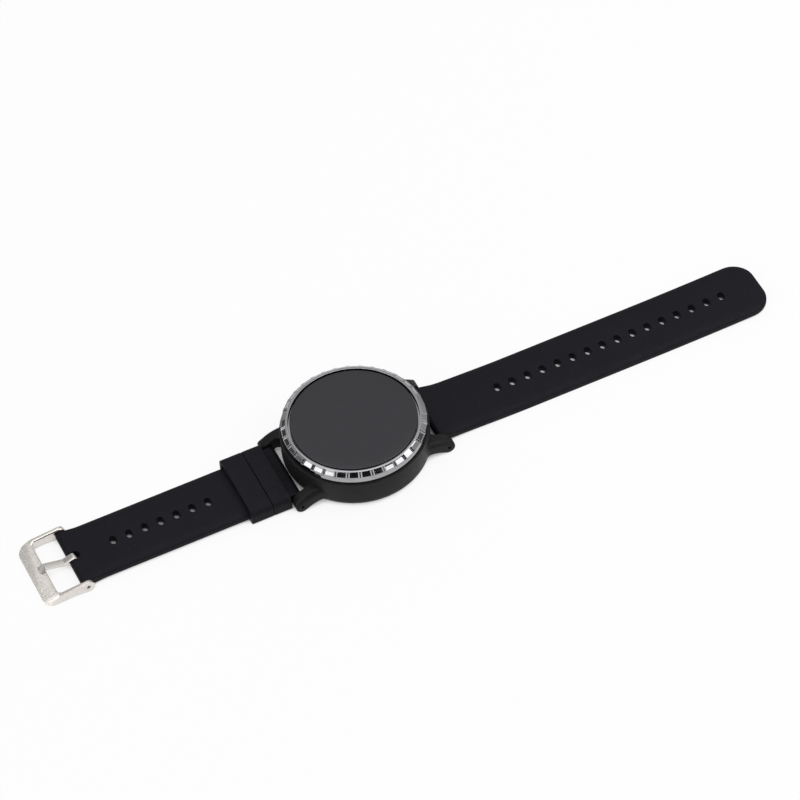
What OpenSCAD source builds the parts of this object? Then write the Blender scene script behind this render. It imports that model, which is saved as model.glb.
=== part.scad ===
// Metronome wristwatch, laid out flat with its face up.
// The origin is on the table, on the axis of the round case.
// +X points along the long strap, +Y across the strap, +Z up.

/* [Case] */
// Radius of the round case
case_r = 24.2; // [24:0.1:26]
// Height of the case's flat top above the table
case_h = 11.6; // [11.4:0.1:13.6]
// Rounding of the case's lower edge
case_round = 3; // [1.5:0.1:3]
// Thickness of the case wall
case_wall = 3.2; // [2.6:0.1:3.4]
// Thickness of the deck under the tempo wheel
deck_t = 1.6; // [1.2:0.1:1.9]
// Width of the collar that carries the face and guides the wheel
collar_w = 5.5; // [4.8:0.1:6]
// Thickness of the ledge that the back cover is screwed to
ledge_t = 1.6; // [1.2:0.1:2]

/* [Back] */
// Thickness of the back cover
back_t = 1.8; // [1.6:0.1:2]
// How far the back cover stands below the case rim
back_proud = 0.5; // [0.3:0.1:0.8]
// Width of the ledge that seals and holds the back cover
seat_w = 3.2; // [3:0.1:3.3]
// Radius of a back screw's shaft
screw_r = 0.5; // [0.4:0.05:0.55]
// Radius of a back screw's head
screw_head_r = 1; // [0.8:0.05:1.1]
// Width of the gasket ring
gasket_w = 0.65; // [0.5:0.05:0.7]
// Depth of the gasket's groove
gasket_h = 0.5; // [0.4:0.05:0.6]
// Radius of a charging contact's pad
contact_r = 0.75; // [0.6:0.05:0.8]
// Distance between charging contacts
contact_pitch = 3; // [2.4:0.1:3.4]

/* [Tempo wheel] */
// How far the wheel's foot stands in from the case wall
wheel_in = 0.65; // [0.4:0.05:0.8]
// Height of the wheel's top lip above the case
wheel_h = 3.8; // [3.4:0.1:4.2]
// Width of the wheel's flat top lip
lip_w = 0.8; // [0.6:0.05:0.9]
// Height of the plain band at the wheel's foot
band_h = 2.6; // [2.3:0.05:2.8]
// How far the band's top stands in from the foot
band_in = 0.05; // [0.05:0.05:0.2]
// How far the shoulder stands in from the foot
shoulder_in = 1.55; // [1.4:0.05:1.6]
// Number of ribs round the wheel
wheel_ribs = 36; // [30:2:40]
// Width of one rib
rib_w = 0.9; // [0.6:0.05:1.2]
// Depth of the pockets between the ribs
pocket_d = 0.2; // [0.15:0.05:0.3]
// How far a rib stands proud
rib_proud = 0.15; // [0.1:0.05:0.2]
// Gap under the wheel
wheel_lift = 0.35; // [0.3:0.05:0.4]
// Number of click steps in one turn
wheel_clicks = 36; // [24:12:36]

/* [Face] */
// Thickness of the face disc
face_t = 1.3; // [1.1:0.1:1.5]
// Gap between the face disc and the lip
face_gap = 0.55; // [0.4:0.05:0.6]
// How far the face disc overhangs the collar
face_overhang = 0.75; // [0.7:0.05:0.9]
// Thickness of the face's adhesive ring
tape_t = 0.15; // [0.1:0.05:0.2]

/* [Lugs] */
// Thickness of a lug
lug_t = 4.3; // [3.2:0.1:4.8]
// Distance of the spring bars outside the case wall
bar_out = 1.8; // [1.8:0.1:2.6]
// Height of the spring bars
bar_z = 2.6; // [2.4:0.1:2.9]
// Radius of a lug's nose round the spring bar
nose_r = 2.2; // [1.9:0.05:2.3]
// Height of the lug's top where it leaves the case
lug_top = 7.2; // [6.6:0.1:8.4]
// Fillet between a lug's inner side and the case
lug_fillet_in = 1.2; // [0.6:0.1:1.6]
// Fillet between a lug's outer side and the case
lug_fillet_out = 2.5; // [1:0.1:4]

/* [Straps] */
// Width of both straps
strap_w = 22; // [20:0.5:24]
// Thickness of both straps
strap_t = 2.85; // [2.4:0.05:3]
// Spring bar to tip on the long strap
long_len = 121.3; // [115:0.5:130]
// Spring bar to buckle pin on the short strap
short_len = 73.2; // [70:0.5:80]
// Radius of a strap's end round its spring bar
strap_end_r = 1.75; // [1.65:0.05:1.8]
// Radius of the strap's end round the buckle pin
pin_end_r = 1.7; // [1.6:0.05:1.8]
// Corner radius of the long strap's tip
tip_round = 7.2; // [4:0.2:10]
// How far the long strap's tip curls up
tip_rise = 0.9; // [0.2:0.1:2]
// Length over which the long strap comes down to the table
strap_fall = 32; // [20:1:40]
// Distance between strap holes
hole_pitch = 5.5; // [5:0.1:6]
// Width of a strap hole, along the strap
hole_w = 2; // [1.6:0.1:2.4]
// Length of a strap hole, across the strap
hole_l = 3.3; // [2.8:0.1:4]
// Number of holes in the long strap
long_holes = 16; // [8:1:17]
// Number of holes in the short strap
short_holes = 7; // [3:1:7]
// Last hole of the long strap to its tip
long_hole_end = 14; // [12:0.5:18]
// Last hole of the short strap to the buckle pin
short_hole_end = 13.9; // [12:0.1:16]

/* [Keepers] */
// Length of the keeper nearer the case
inner_keeper_w = 6.4; // [6:0.1:8]
// Length of the keeper nearer the buckle
outer_keeper_w = 7.6; // [6:0.1:9]
// Thickness of a keeper above and below the strap
keeper_t = 0.95; // [0.8:0.05:1.1]
// Thickness of a keeper's sides
keeper_side_t = 1.7; // [1.4:0.1:2]
// Free height inside a keeper above the strap
keeper_room = 1.3; // [0.9:0.05:1.5]

/* [Buckle] */
// Radius of the ears, which stand on the table
ear_r = 2.2; // [2:0.1:2.4]
// Thickness of the buckle's side arms
arm_t = 1.4; // [1.2:0.1:2]
// Buckle pin to the inner edge of the front bar
window_l = 9.7; // [9:0.1:11]
// Length of the front bar's slope
bar_l = 5; // [4:0.1:6]
// Height of the front bar's inner edge
bar_top = 3.4; // [3:0.1:3.6]
// Thickness of the front bar
bar_t = 1.5; // [1.2:0.1:1.7]
// Corner radius of the buckle seen from above
buckle_round = 3.6; // [2:0.1:5]
// Radius of the buckle pin
pin_r = 0.7; // [0.6:0.05:0.75]
// Width of the tongue
tongue_w = 2.6; // [2:0.1:3]
// Thickness of the tongue
tongue_t = 0.8; // [0.7:0.05:0.9]

/* [Spring bars] */
// Outer radius of a spring bar's tube
tube_r = 0.9; // [0.85:0.01:0.95]
// Wall of the tube
tube_wall = 0.25; // [0.2:0.01:0.28]
// Radius of the sliding tips in the lugs
tip_r = 0.45; // [0.35:0.05:0.5]
// How deep a tip reaches into its lug
tip_reach = 2.1; // [1.5:0.1:2.4]

/* [Inside] */
// Thickness of the inner frame's floor
frame_t = 0.6; // [0.5:0.05:0.7]
// Room between the battery and the case's back opening
battery_in = 3.9; // [3.7:0.1:5]
// Thickness of the foam pad on the battery
foam_t = 1.3; // [0.6:0.1:2]
// Motor axis to the case's back opening
motor_in = 6.7; // [6.6:0.1:7]
// End of the motor's can to the case's back opening
can_in = 7.9; // [7.7:0.1:9]
// How far the motor's can passes the middle of the case
can_past = 1.6; // [0.5:0.1:2]
// Thickness of the motor's rubber boot
boot_t = 0.4; // [0.3:0.05:0.45]
// Length of the eccentric weight
weight_l = 4.5; // [3:0.5:5]
// Radius of the motor shaft
shaft_r = 0.4; // [0.3:0.05:0.5]
// Thickness of the main board
board_t = 0.9; // [0.6:0.05:1]
// Gap between the main board and the case's back opening
board_edge = 0.3; // [0.2:0.05:0.6]
// Height of the posts between the main board and the deck
post_h = 0.8; // [0.7:0.05:1]

/* [Hidden] */
$fn = 96;

// Clearances
run_gap = 0.05;
loose_gap = 0.1;
side_gap = 0.3;
eps = 0.01;

// Case levels and radii
cavity_r = case_r - case_wall;
deck_z = case_h - deck_t;
ledge_z = back_t + ledge_t;
rim_r = case_r - case_round;
back_edge = 0.6;
back_r = rim_r - back_edge - loose_gap;
back_open_r = back_r - seat_w;
back_chamfer = 0.4;

// Back screws and gasket
screw_n = 4;
screw_head_h = 0.7;
screw_sink = 0.2;
screw_boss_wall = 1;
screw_boss_h = 1.5;
gasket_in_r = back_open_r + loose_gap + run_gap;
gasket_out_r = gasket_in_r + gasket_w;
screw_pcd_r = gasket_out_r + loose_gap + screw_r + 0.2;
contact_n = 4;

// Inner levels
frame_z = back_t + frame_t;
board_gap = 0.3;
board_top = deck_z - post_h;
board_z = board_top - board_t;
boot_r = (board_z - board_gap - frame_z) / 2;
can_r = boot_r - boot_t;
battery_h = board_z - foam_t - frame_z;

// Face and collar
lip_z = case_h + wheel_h;
face_sink = 0.1;
face_z1 = lip_z - face_sink;
face_z0 = face_z1 - face_t;
wheel_r = case_r - wheel_in;
lip_r = wheel_r - shoulder_in - lip_w;
face_r = lip_r - face_gap;
face_edge = 0.25;
collar_r = face_r - face_overhang;
deck_open_r = collar_r - collar_w;
collar_z = face_z0 - tape_t;

// Tempo wheel
flange_gap = 0.15;
flange_z0 = case_h + wheel_lift;
flange_z1 = face_z0 - flange_gap;
wheel_bore_r = collar_r + run_gap;
shoulder_r = wheel_r - shoulder_in;
shoulder_z = lip_z - 0.15;
band_r = wheel_r - band_in;
band_z = case_h + band_h;
lip_soft = 0.15;
slope_a = atan2(shoulder_z - band_z, band_r - shoulder_r);
slope_l = norm([shoulder_z - band_z, band_r - shoulder_r]);
slope_r = (band_r + shoulder_r) / 2;
slope_z = (band_z + shoulder_z) / 2;
pocket_edge = 0.18;

// Click plunger
click_a = 90;
plunger_r = 0.5;
plunger_l = 1.7;
click_r = wheel_bore_r + plunger_r + loose_gap;
dimple_r = plunger_r + run_gap;
dimple_d = 0.45;
plunger_top = flange_z0 + dimple_d - loose_gap;
click_bore_z = case_h - 3.1;
click_boss_r = plunger_r + 0.8;

// Magnet ring and glide ring
magnet_in_r = click_r + dimple_r + 0.15;
magnet_w = 0.85;
magnet_h = 0.8;
magnet_out_r = magnet_in_r + magnet_w;
glide_in_r = magnet_out_r + 0.2;
glide_out_r = wheel_r - 0.35;
glide_t = wheel_lift - run_gap;

// Lugs and spring bars
bar_x = case_r + bar_out;
lug_y0 = strap_w / 2 + side_gap;
lug_y1 = lug_y0 + lug_t;
lug_foot_x = case_r - 7;
nose_top_a = 35;
nose_low_a = -110;
hole_gap = 0.05;
tube_y = strap_w / 2 - loose_gap;
plunger_y = 3.4;
tip_travel = tip_reach + loose_gap;
bar_spring_y = tube_y - plunger_y - tip_travel - loose_gap;

// Straps
tunnel_gap = 0.05;
keeper_gap = 0.1;
short_z = keeper_t + keeper_gap;
pin_x = -(bar_x + short_len);
pin_z = ear_r;
tip_x = bar_x + long_len;
rise_l = 47;
end_taper = 0.45;
short_fall = 2.2;
steps = 28;

// Keepers
keeper_y = strap_w / 2 + side_gap;
keeper_top = short_z + strap_t + keeper_room + keeper_t;
keeper_x = -(bar_x + nose_r + side_gap);
keeper_split = 0.1;
keeper_out_round = 1.6;
keeper_in_round = 0.6;

// Buckle
arm_y0 = strap_w / 2 + side_gap;
arm_y1 = arm_y0 + arm_t;
front_x0 = pin_x - window_l;
front_x1 = front_x0 - bar_l;
front_low = 0.9;
front_edge = 0.4;
pin_sink = 0.5;
notch_w = tongue_w + 2 * side_gap;
notch_l = 3.8;
loop_r = pin_r + run_gap + tongue_t;
tongue_dip = 1.05;
tongue_gap = 0.05;

// Motor
motor_x = back_open_r - motor_in;
motor_z = frame_z + boot_r;
can_y0 = can_in - back_open_r;
can_y1 = can_past;
can_l = can_y1 - can_y0;
can_wall = 0.3;
cap_t = 0.6;
bushing_r = 1;
bushing_l = 1.2;
armature_r = 1.7;
weight_gap = 0.8;
weight_r = can_r;
boot_in = 1;

// Battery and frame
frame_wall = 0.8;
contact_room = 2.2;
battery_x0 = battery_in - back_open_r + frame_wall + loose_gap;
battery_x1 = motor_x - boot_r - contact_room - frame_wall - loose_gap;
battery_l = battery_x1 - battery_x0;
battery_x = (battery_x0 + battery_x1) / 2;
battery_soft = 1.2;
foam_in = 2.5;
frame_wall_h = 2.4;
frame_r = back_open_r - 0.5;
post_r = 1.2;
post_n = 3;
board_r = back_open_r - board_edge;
board_head_h = 0.25;
board_head_r = 0.9;
post_pcd_r = board_r - post_r - loose_gap;
chip_h = 0.8;
sensor_size = [2, 2, 0.25];
chips = [[0, 0, 6, 6, 0.9], [6.1, 0, 3.2, 4, chip_h], [-6.5, 0, 3, 3, chip_h], [0.25, 6.5, 4.5, 3, 0.7]];
post_screw_r = 0.45;
led_n = 6;
led_size = [1.6, 1.2, 0.6];
guide_out_r = deck_open_r - loose_gap;
guide_w = 2;

function smooth(u) = let (v = max(0, min(1, u))) v * v * (3 - 2 * v);
function mix(a, b, u) = a + (b - a) * u;
function bezier(p, t) = pow(1 - t, 3) * p[0] + 3 * t * pow(1 - t, 2) * p[1]
  + 3 * t * t * (1 - t) * p[2] + pow(t, 3) * p[3];
function on_circle(c, r, a) = c + r * [cos(a), sin(a)];

// Ring between two radii and two heights
module ring(r0, r1, z0, z1) {
  translate([0, 0, z0]) difference() {
    cylinder(r = r1, h = z1 - z0);
    translate([0, 0, -1]) cylinder(r = r0, h = z1 - z0 + 2);
  }
}

// Round rod along Y between two places
module rod_y(r, y0, y1) {
  translate([0, y0, 0]) rotate([-90, 0, 0]) cylinder(r = r, h = y1 - y0, $fn = 48);
}

// Side outline in X and Z, made solid between two places along Y
module side_extrude(y0, y1) {
  translate([0, y1, 0]) rotate([90, 0, 0]) linear_extrude(y1 - y0) children();
}

// Rectangle with round corners, about its centre
module round_rect(size, r) {
  square([size[0] - 2 * r, size[1]], center = true);
  square([size[0], size[1] - 2 * r], center = true);
  for (sx = [-1, 1], sy = [-1, 1])
    translate([sx * (size[0] / 2 - r), sy * (size[1] / 2 - r)]) circle(r, $fn = 48);
}

// Places children at equal steps round the case axis
module around(n, r, a0 = 0) {
  for (i = [0:n - 1]) rotate([0, 0, a0 + i * 360 / n]) translate([r, 0, 0]) children();
}

// Case

module case_shell() {
  rotate_extrude($fn = 180) difference() {
    union() {
      translate([0, back_proud + case_round]) square([case_r, case_h - back_proud - case_round]);
      translate([0, back_proud]) square([rim_r, case_round + eps]);
      translate([rim_r, back_proud + case_round]) circle(case_round);
      translate([0, case_h - eps]) square([collar_r, collar_z - case_h + eps]);
    }
    translate([0, -1]) square([back_r + loose_gap, back_t + 1]);
    translate([0, -1]) square([back_open_r, deck_z + 1]);
    translate([0, ledge_z]) square([cavity_r, deck_z - ledge_z]);
    translate([0, -1]) square([deck_open_r, collar_z + 2]);
  }
}

module lug_outline() {
  nose = [bar_x, bar_z];
  top_end = on_circle(nose, nose_r, nose_top_a);
  low_end = on_circle(nose, nose_r, nose_low_a);
  top = [[lug_foot_x, lug_top + 0.1], [bar_x - 3.5, lug_top],
    [bar_x - 0.4, lug_top - 0.9], top_end];
  low = [low_end, [bar_x - 2.5, bar_z - 1.2], [bar_x - 4.5, bar_z + 0.2],
    [lug_foot_x, bar_z + 0.2]];
  polygon(concat([for (i = [0:10]) bezier(top, i / 10)], [nose],
    [for (i = [0:8]) bezier(low, i / 8)]));
  translate(nose) circle(nose_r);
}

// Corner between the case and one side of a lug, filled up to a round fillet
module lug_fillet(y, r, side) {
  c = [sqrt(pow(case_r + r, 2) - pow(y + side * r, 2)), y + side * r];
  foot = c * case_r / (case_r + r);
  difference() {
    polygon([[c[0], y], [lug_foot_x, y], foot * 0.9, foot]);
    translate(c) circle(r, $fn = 64);
  }
}

module lug_plan() {
  translate([lug_foot_x, lug_y0]) square([bar_x + nose_r + 1 - lug_foot_x, lug_t]);
  lug_fillet(lug_y0, lug_fillet_in, -1);
  lug_fillet(lug_y1, lug_fillet_out, 1);
}

module lugs() {
  for (sx = [0, 1], sy = [0, 1]) mirror([sx, 0, 0]) mirror([0, sy, 0]) intersection() {
    side_extrude(lug_y0 - lug_t, lug_y1 + lug_t) lug_outline();
    translate([0, 0, -1]) linear_extrude(case_h) lug_plan();
  }
}

module screw_boss() {
  translate([0, 0, ledge_z - eps])
    cylinder(r = screw_r + screw_boss_wall, h = screw_boss_h, $fn = 48);
}

module board_post() {
  translate([0, 0, board_top]) cylinder(r = post_r, h = deck_z - board_top + eps, $fn = 48);
}

module click_boss() {
  translate([click_r - click_boss_r, -click_boss_r, click_bore_z - 0.8])
    cube([cavity_r - click_r + click_boss_r + 0.5, 2 * click_boss_r, deck_z - click_bore_z + 0.9]);
}

module case_body() {
  color([0.17, 0.17, 0.18]) difference() {
    union() {
      difference() {
        union() {
          case_shell();
          lugs();
        }
        translate([0, 0, ledge_z]) cylinder(r = cavity_r, h = deck_z - ledge_z, $fn = 180);
        translate([0, 0, -1]) cylinder(r = back_open_r, h = deck_z + 1, $fn = 180);
        translate([0, 0, -1]) cylinder(r = back_r + loose_gap, h = back_t + 1, $fn = 180);
      }
      around(screw_n, screw_pcd_r, 45) screw_boss();
      around(post_n, post_pcd_r, 30) board_post();
      rotate([0, 0, click_a]) click_boss();
    }
    around(screw_n, screw_pcd_r, 45) translate([0, 0, back_t - 1])
      cylinder(r = screw_r + hole_gap, h = ledge_t + screw_boss_h + 0.7, $fn = 48);
    around(post_n, post_pcd_r, 30) translate([0, 0, board_top - 1])
      cylinder(r = post_screw_r + hole_gap, h = 2.2, $fn = 48);
    rotate([0, 0, click_a]) translate([click_r, 0, click_bore_z])
      cylinder(r = plunger_r + run_gap, h = case_h - click_bore_z + 1, $fn = 48);
    for (s = [-1, 1]) translate([s * bar_x, 0, bar_z])
      rod_y(tip_r + hole_gap, -lug_y1 - 1, lug_y1 + 1);
  }
}

module case_back() {
  color([0.2, 0.2, 0.21]) difference() {
    rotate_extrude($fn = 180) polygon([[0, 0], [back_r - back_chamfer, 0],
      [back_r, back_chamfer], [back_r, back_t], [0, back_t]]);
    ring(gasket_in_r - run_gap, gasket_out_r + run_gap, back_t - gasket_h, back_t + 1);
    around(screw_n, screw_pcd_r, 45) {
      translate([0, 0, -1]) cylinder(r = screw_r + loose_gap, h = back_t + 2, $fn = 48);
      translate([0, 0, -1])
        cylinder(r = screw_head_r + run_gap, h = 1 + screw_sink + screw_head_h, $fn = 48);
    }
    contact_row() translate([0, 0, -1]) cylinder(r = contact_r + run_gap, h = back_t + 2, $fn = 48);
  }
}

module back_gasket() {
  color([0.35, 0.35, 0.36])
    ring(gasket_in_r, gasket_out_r, back_t - gasket_h, back_t, $fn = 180);
}

module cross_slot(w, l, d) {
  for (a = [0, 90]) rotate([0, 0, a]) cube([l, w, 2 * d], center = true);
}

module back_screws() {
  color([0.7, 0.7, 0.72]) around(screw_n, screw_pcd_r, 45) difference() {
    union() {
      translate([0, 0, screw_sink]) cylinder(r = screw_head_r, h = screw_head_h, $fn = 48);
      translate([0, 0, screw_sink]) cylinder(r = screw_r, h = ledge_z + 1 - screw_sink, $fn = 48);
    }
    translate([0, 0, screw_sink]) cross_slot(0.35, 1.2, 0.4);
  }
}

contact_x = (battery_x + battery_l / 2 + frame_wall + motor_x - boot_r) / 2;

module contact_row() {
  for (i = [0:contact_n - 1])
    translate([contact_x, (i - (contact_n - 1) / 2) * contact_pitch, 0]) children();
}

module charge_contacts() {
  color([0.85, 0.7, 0.35]) contact_row() {
    translate([0, 0, 0.05]) cylinder(r = contact_r, h = frame_z - 0.05, $fn = 48);
    translate([0, 0, 1]) cylinder(r = contact_r - 0.25, h = board_z - 1, $fn = 48);
  }
}

// Tempo wheel and its steps

module wheel_outline() {
  polygon([[wheel_bore_r, flange_z0], [wheel_r - lip_soft, flange_z0],
    [wheel_r, flange_z0 + lip_soft], [band_r, band_z], [shoulder_r, shoulder_z],
    [shoulder_r - 0.15, shoulder_z + 0.06], [lip_r + lip_soft, lip_z], [lip_r, lip_z - lip_soft],
    [lip_r, flange_z1], [wheel_bore_r, flange_z1]]);
}

// Frame of one slope panel: X points out of the slope, Z up along it
module on_slope() {
  translate([slope_r, 0, slope_z]) rotate([0, slope_a - 90, 0]) children();
}

module tempo_wheel() {
  pocket_w = 2 * slope_r * sin(180 / wheel_ribs) - rib_w;
  color([0.42, 0.43, 0.45]) difference() {
    union() {
      rotate_extrude($fn = 180) wheel_outline();
      for (i = [0:wheel_ribs - 1]) rotate([0, 0, i * 360 / wheel_ribs]) on_slope()
        translate([-0.5, -rib_w / 2, -slope_l / 2 + pocket_edge / 2])
          cube([0.5 + rib_proud, rib_w, slope_l - pocket_edge]);
    }
    for (i = [0:wheel_ribs - 1]) rotate([0, 0, (i + 0.5) * 360 / wheel_ribs]) on_slope()
      translate([-pocket_d, -pocket_w / 2, -slope_l / 2 + pocket_edge])
        cube([pocket_d + 0.5, pocket_w, slope_l - 2 * pocket_edge]);
    ring(magnet_in_r - run_gap, magnet_out_r + run_gap, flange_z0 - 1, flange_z0 + magnet_h,
      $fn = 180);
    around(wheel_clicks, click_r, click_a) translate([0, 0, flange_z0 - 1])
      cylinder(r = dimple_r, h = 1 + dimple_d, $fn = 32);
  }
}

module wheel_magnet() {
  color([0.25, 0.22, 0.2])
    ring(magnet_in_r, magnet_out_r, flange_z0 + 0.05, flange_z0 + magnet_h, $fn = 180);
}

module glide_ring() {
  color([0.9, 0.9, 0.88]) ring(glide_in_r, glide_out_r, case_h, case_h + glide_t, $fn = 180);
}

module click_plunger() {
  color([0.75, 0.75, 0.77]) rotate([0, 0, click_a]) translate([click_r, 0, 0]) {
    translate([0, 0, plunger_top - plunger_r]) sphere(plunger_r, $fn = 48);
    translate([0, 0, plunger_top - plunger_l])
      cylinder(r = plunger_r, h = plunger_l - plunger_r, $fn = 48);
  }
}

module click_spring() {
  color([0.6, 0.6, 0.62]) rotate([0, 0, click_a]) translate([click_r, 0, 0])
    ring(plunger_r - 0.25, plunger_r, click_bore_z, plunger_top - plunger_l, $fn = 48);
}

// Face

module face_disc() {
  color([0.2, 0.2, 0.22]) rotate_extrude($fn = 180) polygon([[0, face_z0], [face_r, face_z0],
    [face_r, face_z1 - face_edge], [face_r - face_edge, face_z1], [0, face_z1]]);
}

module face_tape() {
  color([0.1, 0.1, 0.1]) ring(deck_open_r + 0.3, collar_r - 0.4, collar_z, face_z0, $fn = 180);
}

module light_guide() {
  color([0.85, 0.88, 0.9, 0.6]) ring(guide_out_r - guide_w, guide_out_r,
    board_top + led_size[2] + loose_gap, face_z0, $fn = 180);
}

module light_sources() {
  color([0.95, 0.95, 0.8]) around(led_n, guide_out_r - guide_w / 2)
    translate([-led_size[1] / 2, -led_size[0] / 2, board_top]) cube([led_size[1], led_size[0], led_size[2]]);
}

// Main board

module main_board() {
  color([0.1, 0.35, 0.2]) difference() {
    translate([0, 0, board_z]) cylinder(r = board_r, h = board_t, $fn = 180);
    around(post_n, post_pcd_r, 30) translate([0, 0, board_z - 1])
      cylinder(r = post_screw_r + loose_gap, h = board_t + 2, $fn = 48);
  }
}

module board_chips() {
  color([0.12, 0.12, 0.13]) {
    for (c = chips) translate([c[0] - c[2] / 2, c[1] - c[3] / 2, board_top]) cube([c[2], c[3], c[4]]);
    translate([1 - board_r, -sensor_size[1] / 2, board_z - sensor_size[2]]) cube(sensor_size);
  }
}

module board_screws() {
  color([0.7, 0.7, 0.72]) around(post_n, post_pcd_r, 30) difference() {
    union() {
      translate([0, 0, board_z - board_head_h])
        cylinder(r = board_head_r, h = board_head_h, $fn = 48);
      translate([0, 0, board_z - board_head_h])
        cylinder(r = post_screw_r, h = board_head_h + board_t + 1, $fn = 48);
    }
    translate([0, 0, board_z - board_head_h]) cross_slot(0.25, 1, 0.15);
  }
}

// Inner frame and battery

module inner_frame() {
  color([0.75, 0.76, 0.78]) difference() {
    union() {
      translate([0, 0, back_t]) cylinder(r = frame_r, h = frame_t, $fn = 180);
      translate([battery_x, 0, back_t]) linear_extrude(frame_t + frame_wall_h)
        square([battery_l + 2 * (frame_wall + loose_gap), battery_l + 2 * (frame_wall + loose_gap)],
          center = true);
    }
    translate([battery_x, 0, frame_z]) linear_extrude(frame_wall_h + 1)
      square([battery_l + 2 * loose_gap, battery_l + 2 * loose_gap], center = true);
    contact_row() translate([0, 0, back_t - 1])
      cylinder(r = contact_r + loose_gap, h = frame_t + frame_wall_h + 2, $fn = 48);
  }
}

module battery() {
  color([0.75, 0.76, 0.7]) translate([battery_x, 0, frame_z]) linear_extrude(battery_h)
    round_rect([battery_l, battery_l], battery_soft);
}

module battery_foam() {
  color([0.15, 0.15, 0.16]) translate([battery_x, 0, frame_z + battery_h])
    linear_extrude(board_z - frame_z - battery_h)
      round_rect([battery_l - 2 * foam_in, battery_l - 2 * foam_in], battery_soft);
}

// Vibration motor

module at_motor() {
  translate([motor_x, 0, motor_z]) children();
}

module motor_can() {
  color([0.72, 0.73, 0.75]) at_motor() difference() {
    rod_y(can_r, can_y0, can_y1);
    rod_y(can_r - can_wall, can_y0 - 1, can_y1 - bushing_l);
    rod_y(bushing_r + run_gap, can_y1 - bushing_l - 1, can_y1 + 1);
  }
}

module motor_end_cap() {
  color([0.3, 0.3, 0.32]) at_motor() {
    rod_y(can_r, can_y0 - cap_t, can_y0);
    rod_y(can_r - can_wall - run_gap, can_y0 - eps, can_y0 + 1);
  }
}

module motor_bushing() {
  color([0.8, 0.6, 0.3]) at_motor() difference() {
    rod_y(bushing_r, can_y1 - bushing_l, can_y1);
    rod_y(shaft_r + run_gap, can_y1 - bushing_l - 1, can_y1 + 1);
  }
}

module motor_boot() {
  color([0.12, 0.12, 0.12]) at_motor() difference() {
    translate([-boot_r, can_y0 + boot_in, -boot_r])
      cube([2 * boot_r, can_l - 2 * boot_in, 2 * boot_r]);
    rod_y(can_r + run_gap, can_y0 - 1, can_y1 + 1);
  }
}

module motor_shaft() {
  color([0.8, 0.8, 0.82]) at_motor() rod_y(shaft_r, can_y0 + 1.2, can_y1 + weight_gap + weight_l);
}

module motor_armature() {
  color([0.7, 0.4, 0.2]) at_motor() difference() {
    rod_y(armature_r, can_y0 + 1.5, can_y1 - bushing_l - 0.6);
    rod_y(shaft_r, can_y0, can_y1);
  }
}

module eccentric_weight() {
  color([0.55, 0.55, 0.57]) at_motor() difference() {
    rod_y(weight_r, can_y1 + weight_gap, can_y1 + weight_gap + weight_l);
    rod_y(shaft_r, can_y1, can_y1 + weight_gap + weight_l + 1);
    translate([-weight_r - 1, can_y1, shaft_r + 0.5])
      cube([2 * weight_r + 2, weight_l + 3, weight_r]);
  }
}

// Straps

// Underside and thickness of the long strap at a distance from its spring bar
function long_low(s) = (bar_z - strap_end_r) * (1 - smooth(s / strap_fall))
  + tip_rise * pow(max(0, s - long_len + rise_l) / rise_l, 2);
function long_thick(s) = mix(2 * strap_end_r, strap_t, smooth(s / 10))
  - end_taper * smooth((s - long_len + 9) / 9);

// The same for the short strap
function short_low(s) = s < short_len / 2
  ? mix(bar_z - strap_end_r, short_z, smooth(s / short_fall))
  : mix(short_z, pin_z - pin_end_r, smooth((s - short_len + 8) / 8));
function short_thick(s) = s < short_len / 2
  ? mix(2 * strap_end_r, strap_t, smooth(s / 7))
  : mix(strap_t, 2 * pin_end_r, smooth((s - short_len + 8) / 8));

module long_side() {
  stations = [for (i = [0:steps]) long_len * pow(i / steps, 1.15)];
  polygon(concat([for (s = stations) [bar_x + s, long_low(s)]],
    [for (i = [steps:-1:0]) [bar_x + stations[i], long_low(stations[i]) + long_thick(stations[i])]]));
  translate([bar_x, bar_z]) circle(strap_end_r);
}

module short_side() {
  near = [for (i = [0:8]) i];
  far = [for (i = [8:-1:0]) short_len - i];
  stations = concat(near, far);
  polygon(concat([for (s = stations) [bar_x + s, short_low(s)]],
    [for (i = [len(stations) - 1:-1:0])
      [bar_x + stations[i], short_low(stations[i]) + short_thick(stations[i])]]));
  translate([bar_x, bar_z]) circle(strap_end_r);
  translate([bar_x + short_len, pin_z]) circle(pin_end_r);
}

module long_plan() {
  translate([bar_x - 5, -strap_w / 2]) square([long_len + 5 - tip_round, strap_w]);
  translate([bar_x, tip_round - strap_w / 2]) square([long_len, strap_w - 2 * tip_round]);
  for (s = [-1, 1]) translate([tip_x - tip_round, s * (strap_w / 2 - tip_round)])
    circle(tip_round);
}

module oval_hole() {
  w = hole_l - hole_w;
  translate([0, 0, -5]) linear_extrude(20) {
    square([hole_w, w], center = true);
    for (s = [-1, 1]) translate([0, s * w / 2]) circle(hole_w / 2, $fn = 48);
  }
}

module long_strap() {
  color([0.13, 0.13, 0.15]) difference() {
    intersection() {
      side_extrude(-strap_w / 2, strap_w / 2) long_side();
      translate([0, 0, -5]) linear_extrude(20) long_plan();
    }
    for (i = [0:long_holes - 1])
      translate([tip_x - long_hole_end - i * hole_pitch, 0, 0]) oval_hole();
    translate([bar_x, 0, bar_z]) rod_y(tube_r + tunnel_gap, -strap_w, strap_w);
  }
}

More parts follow.
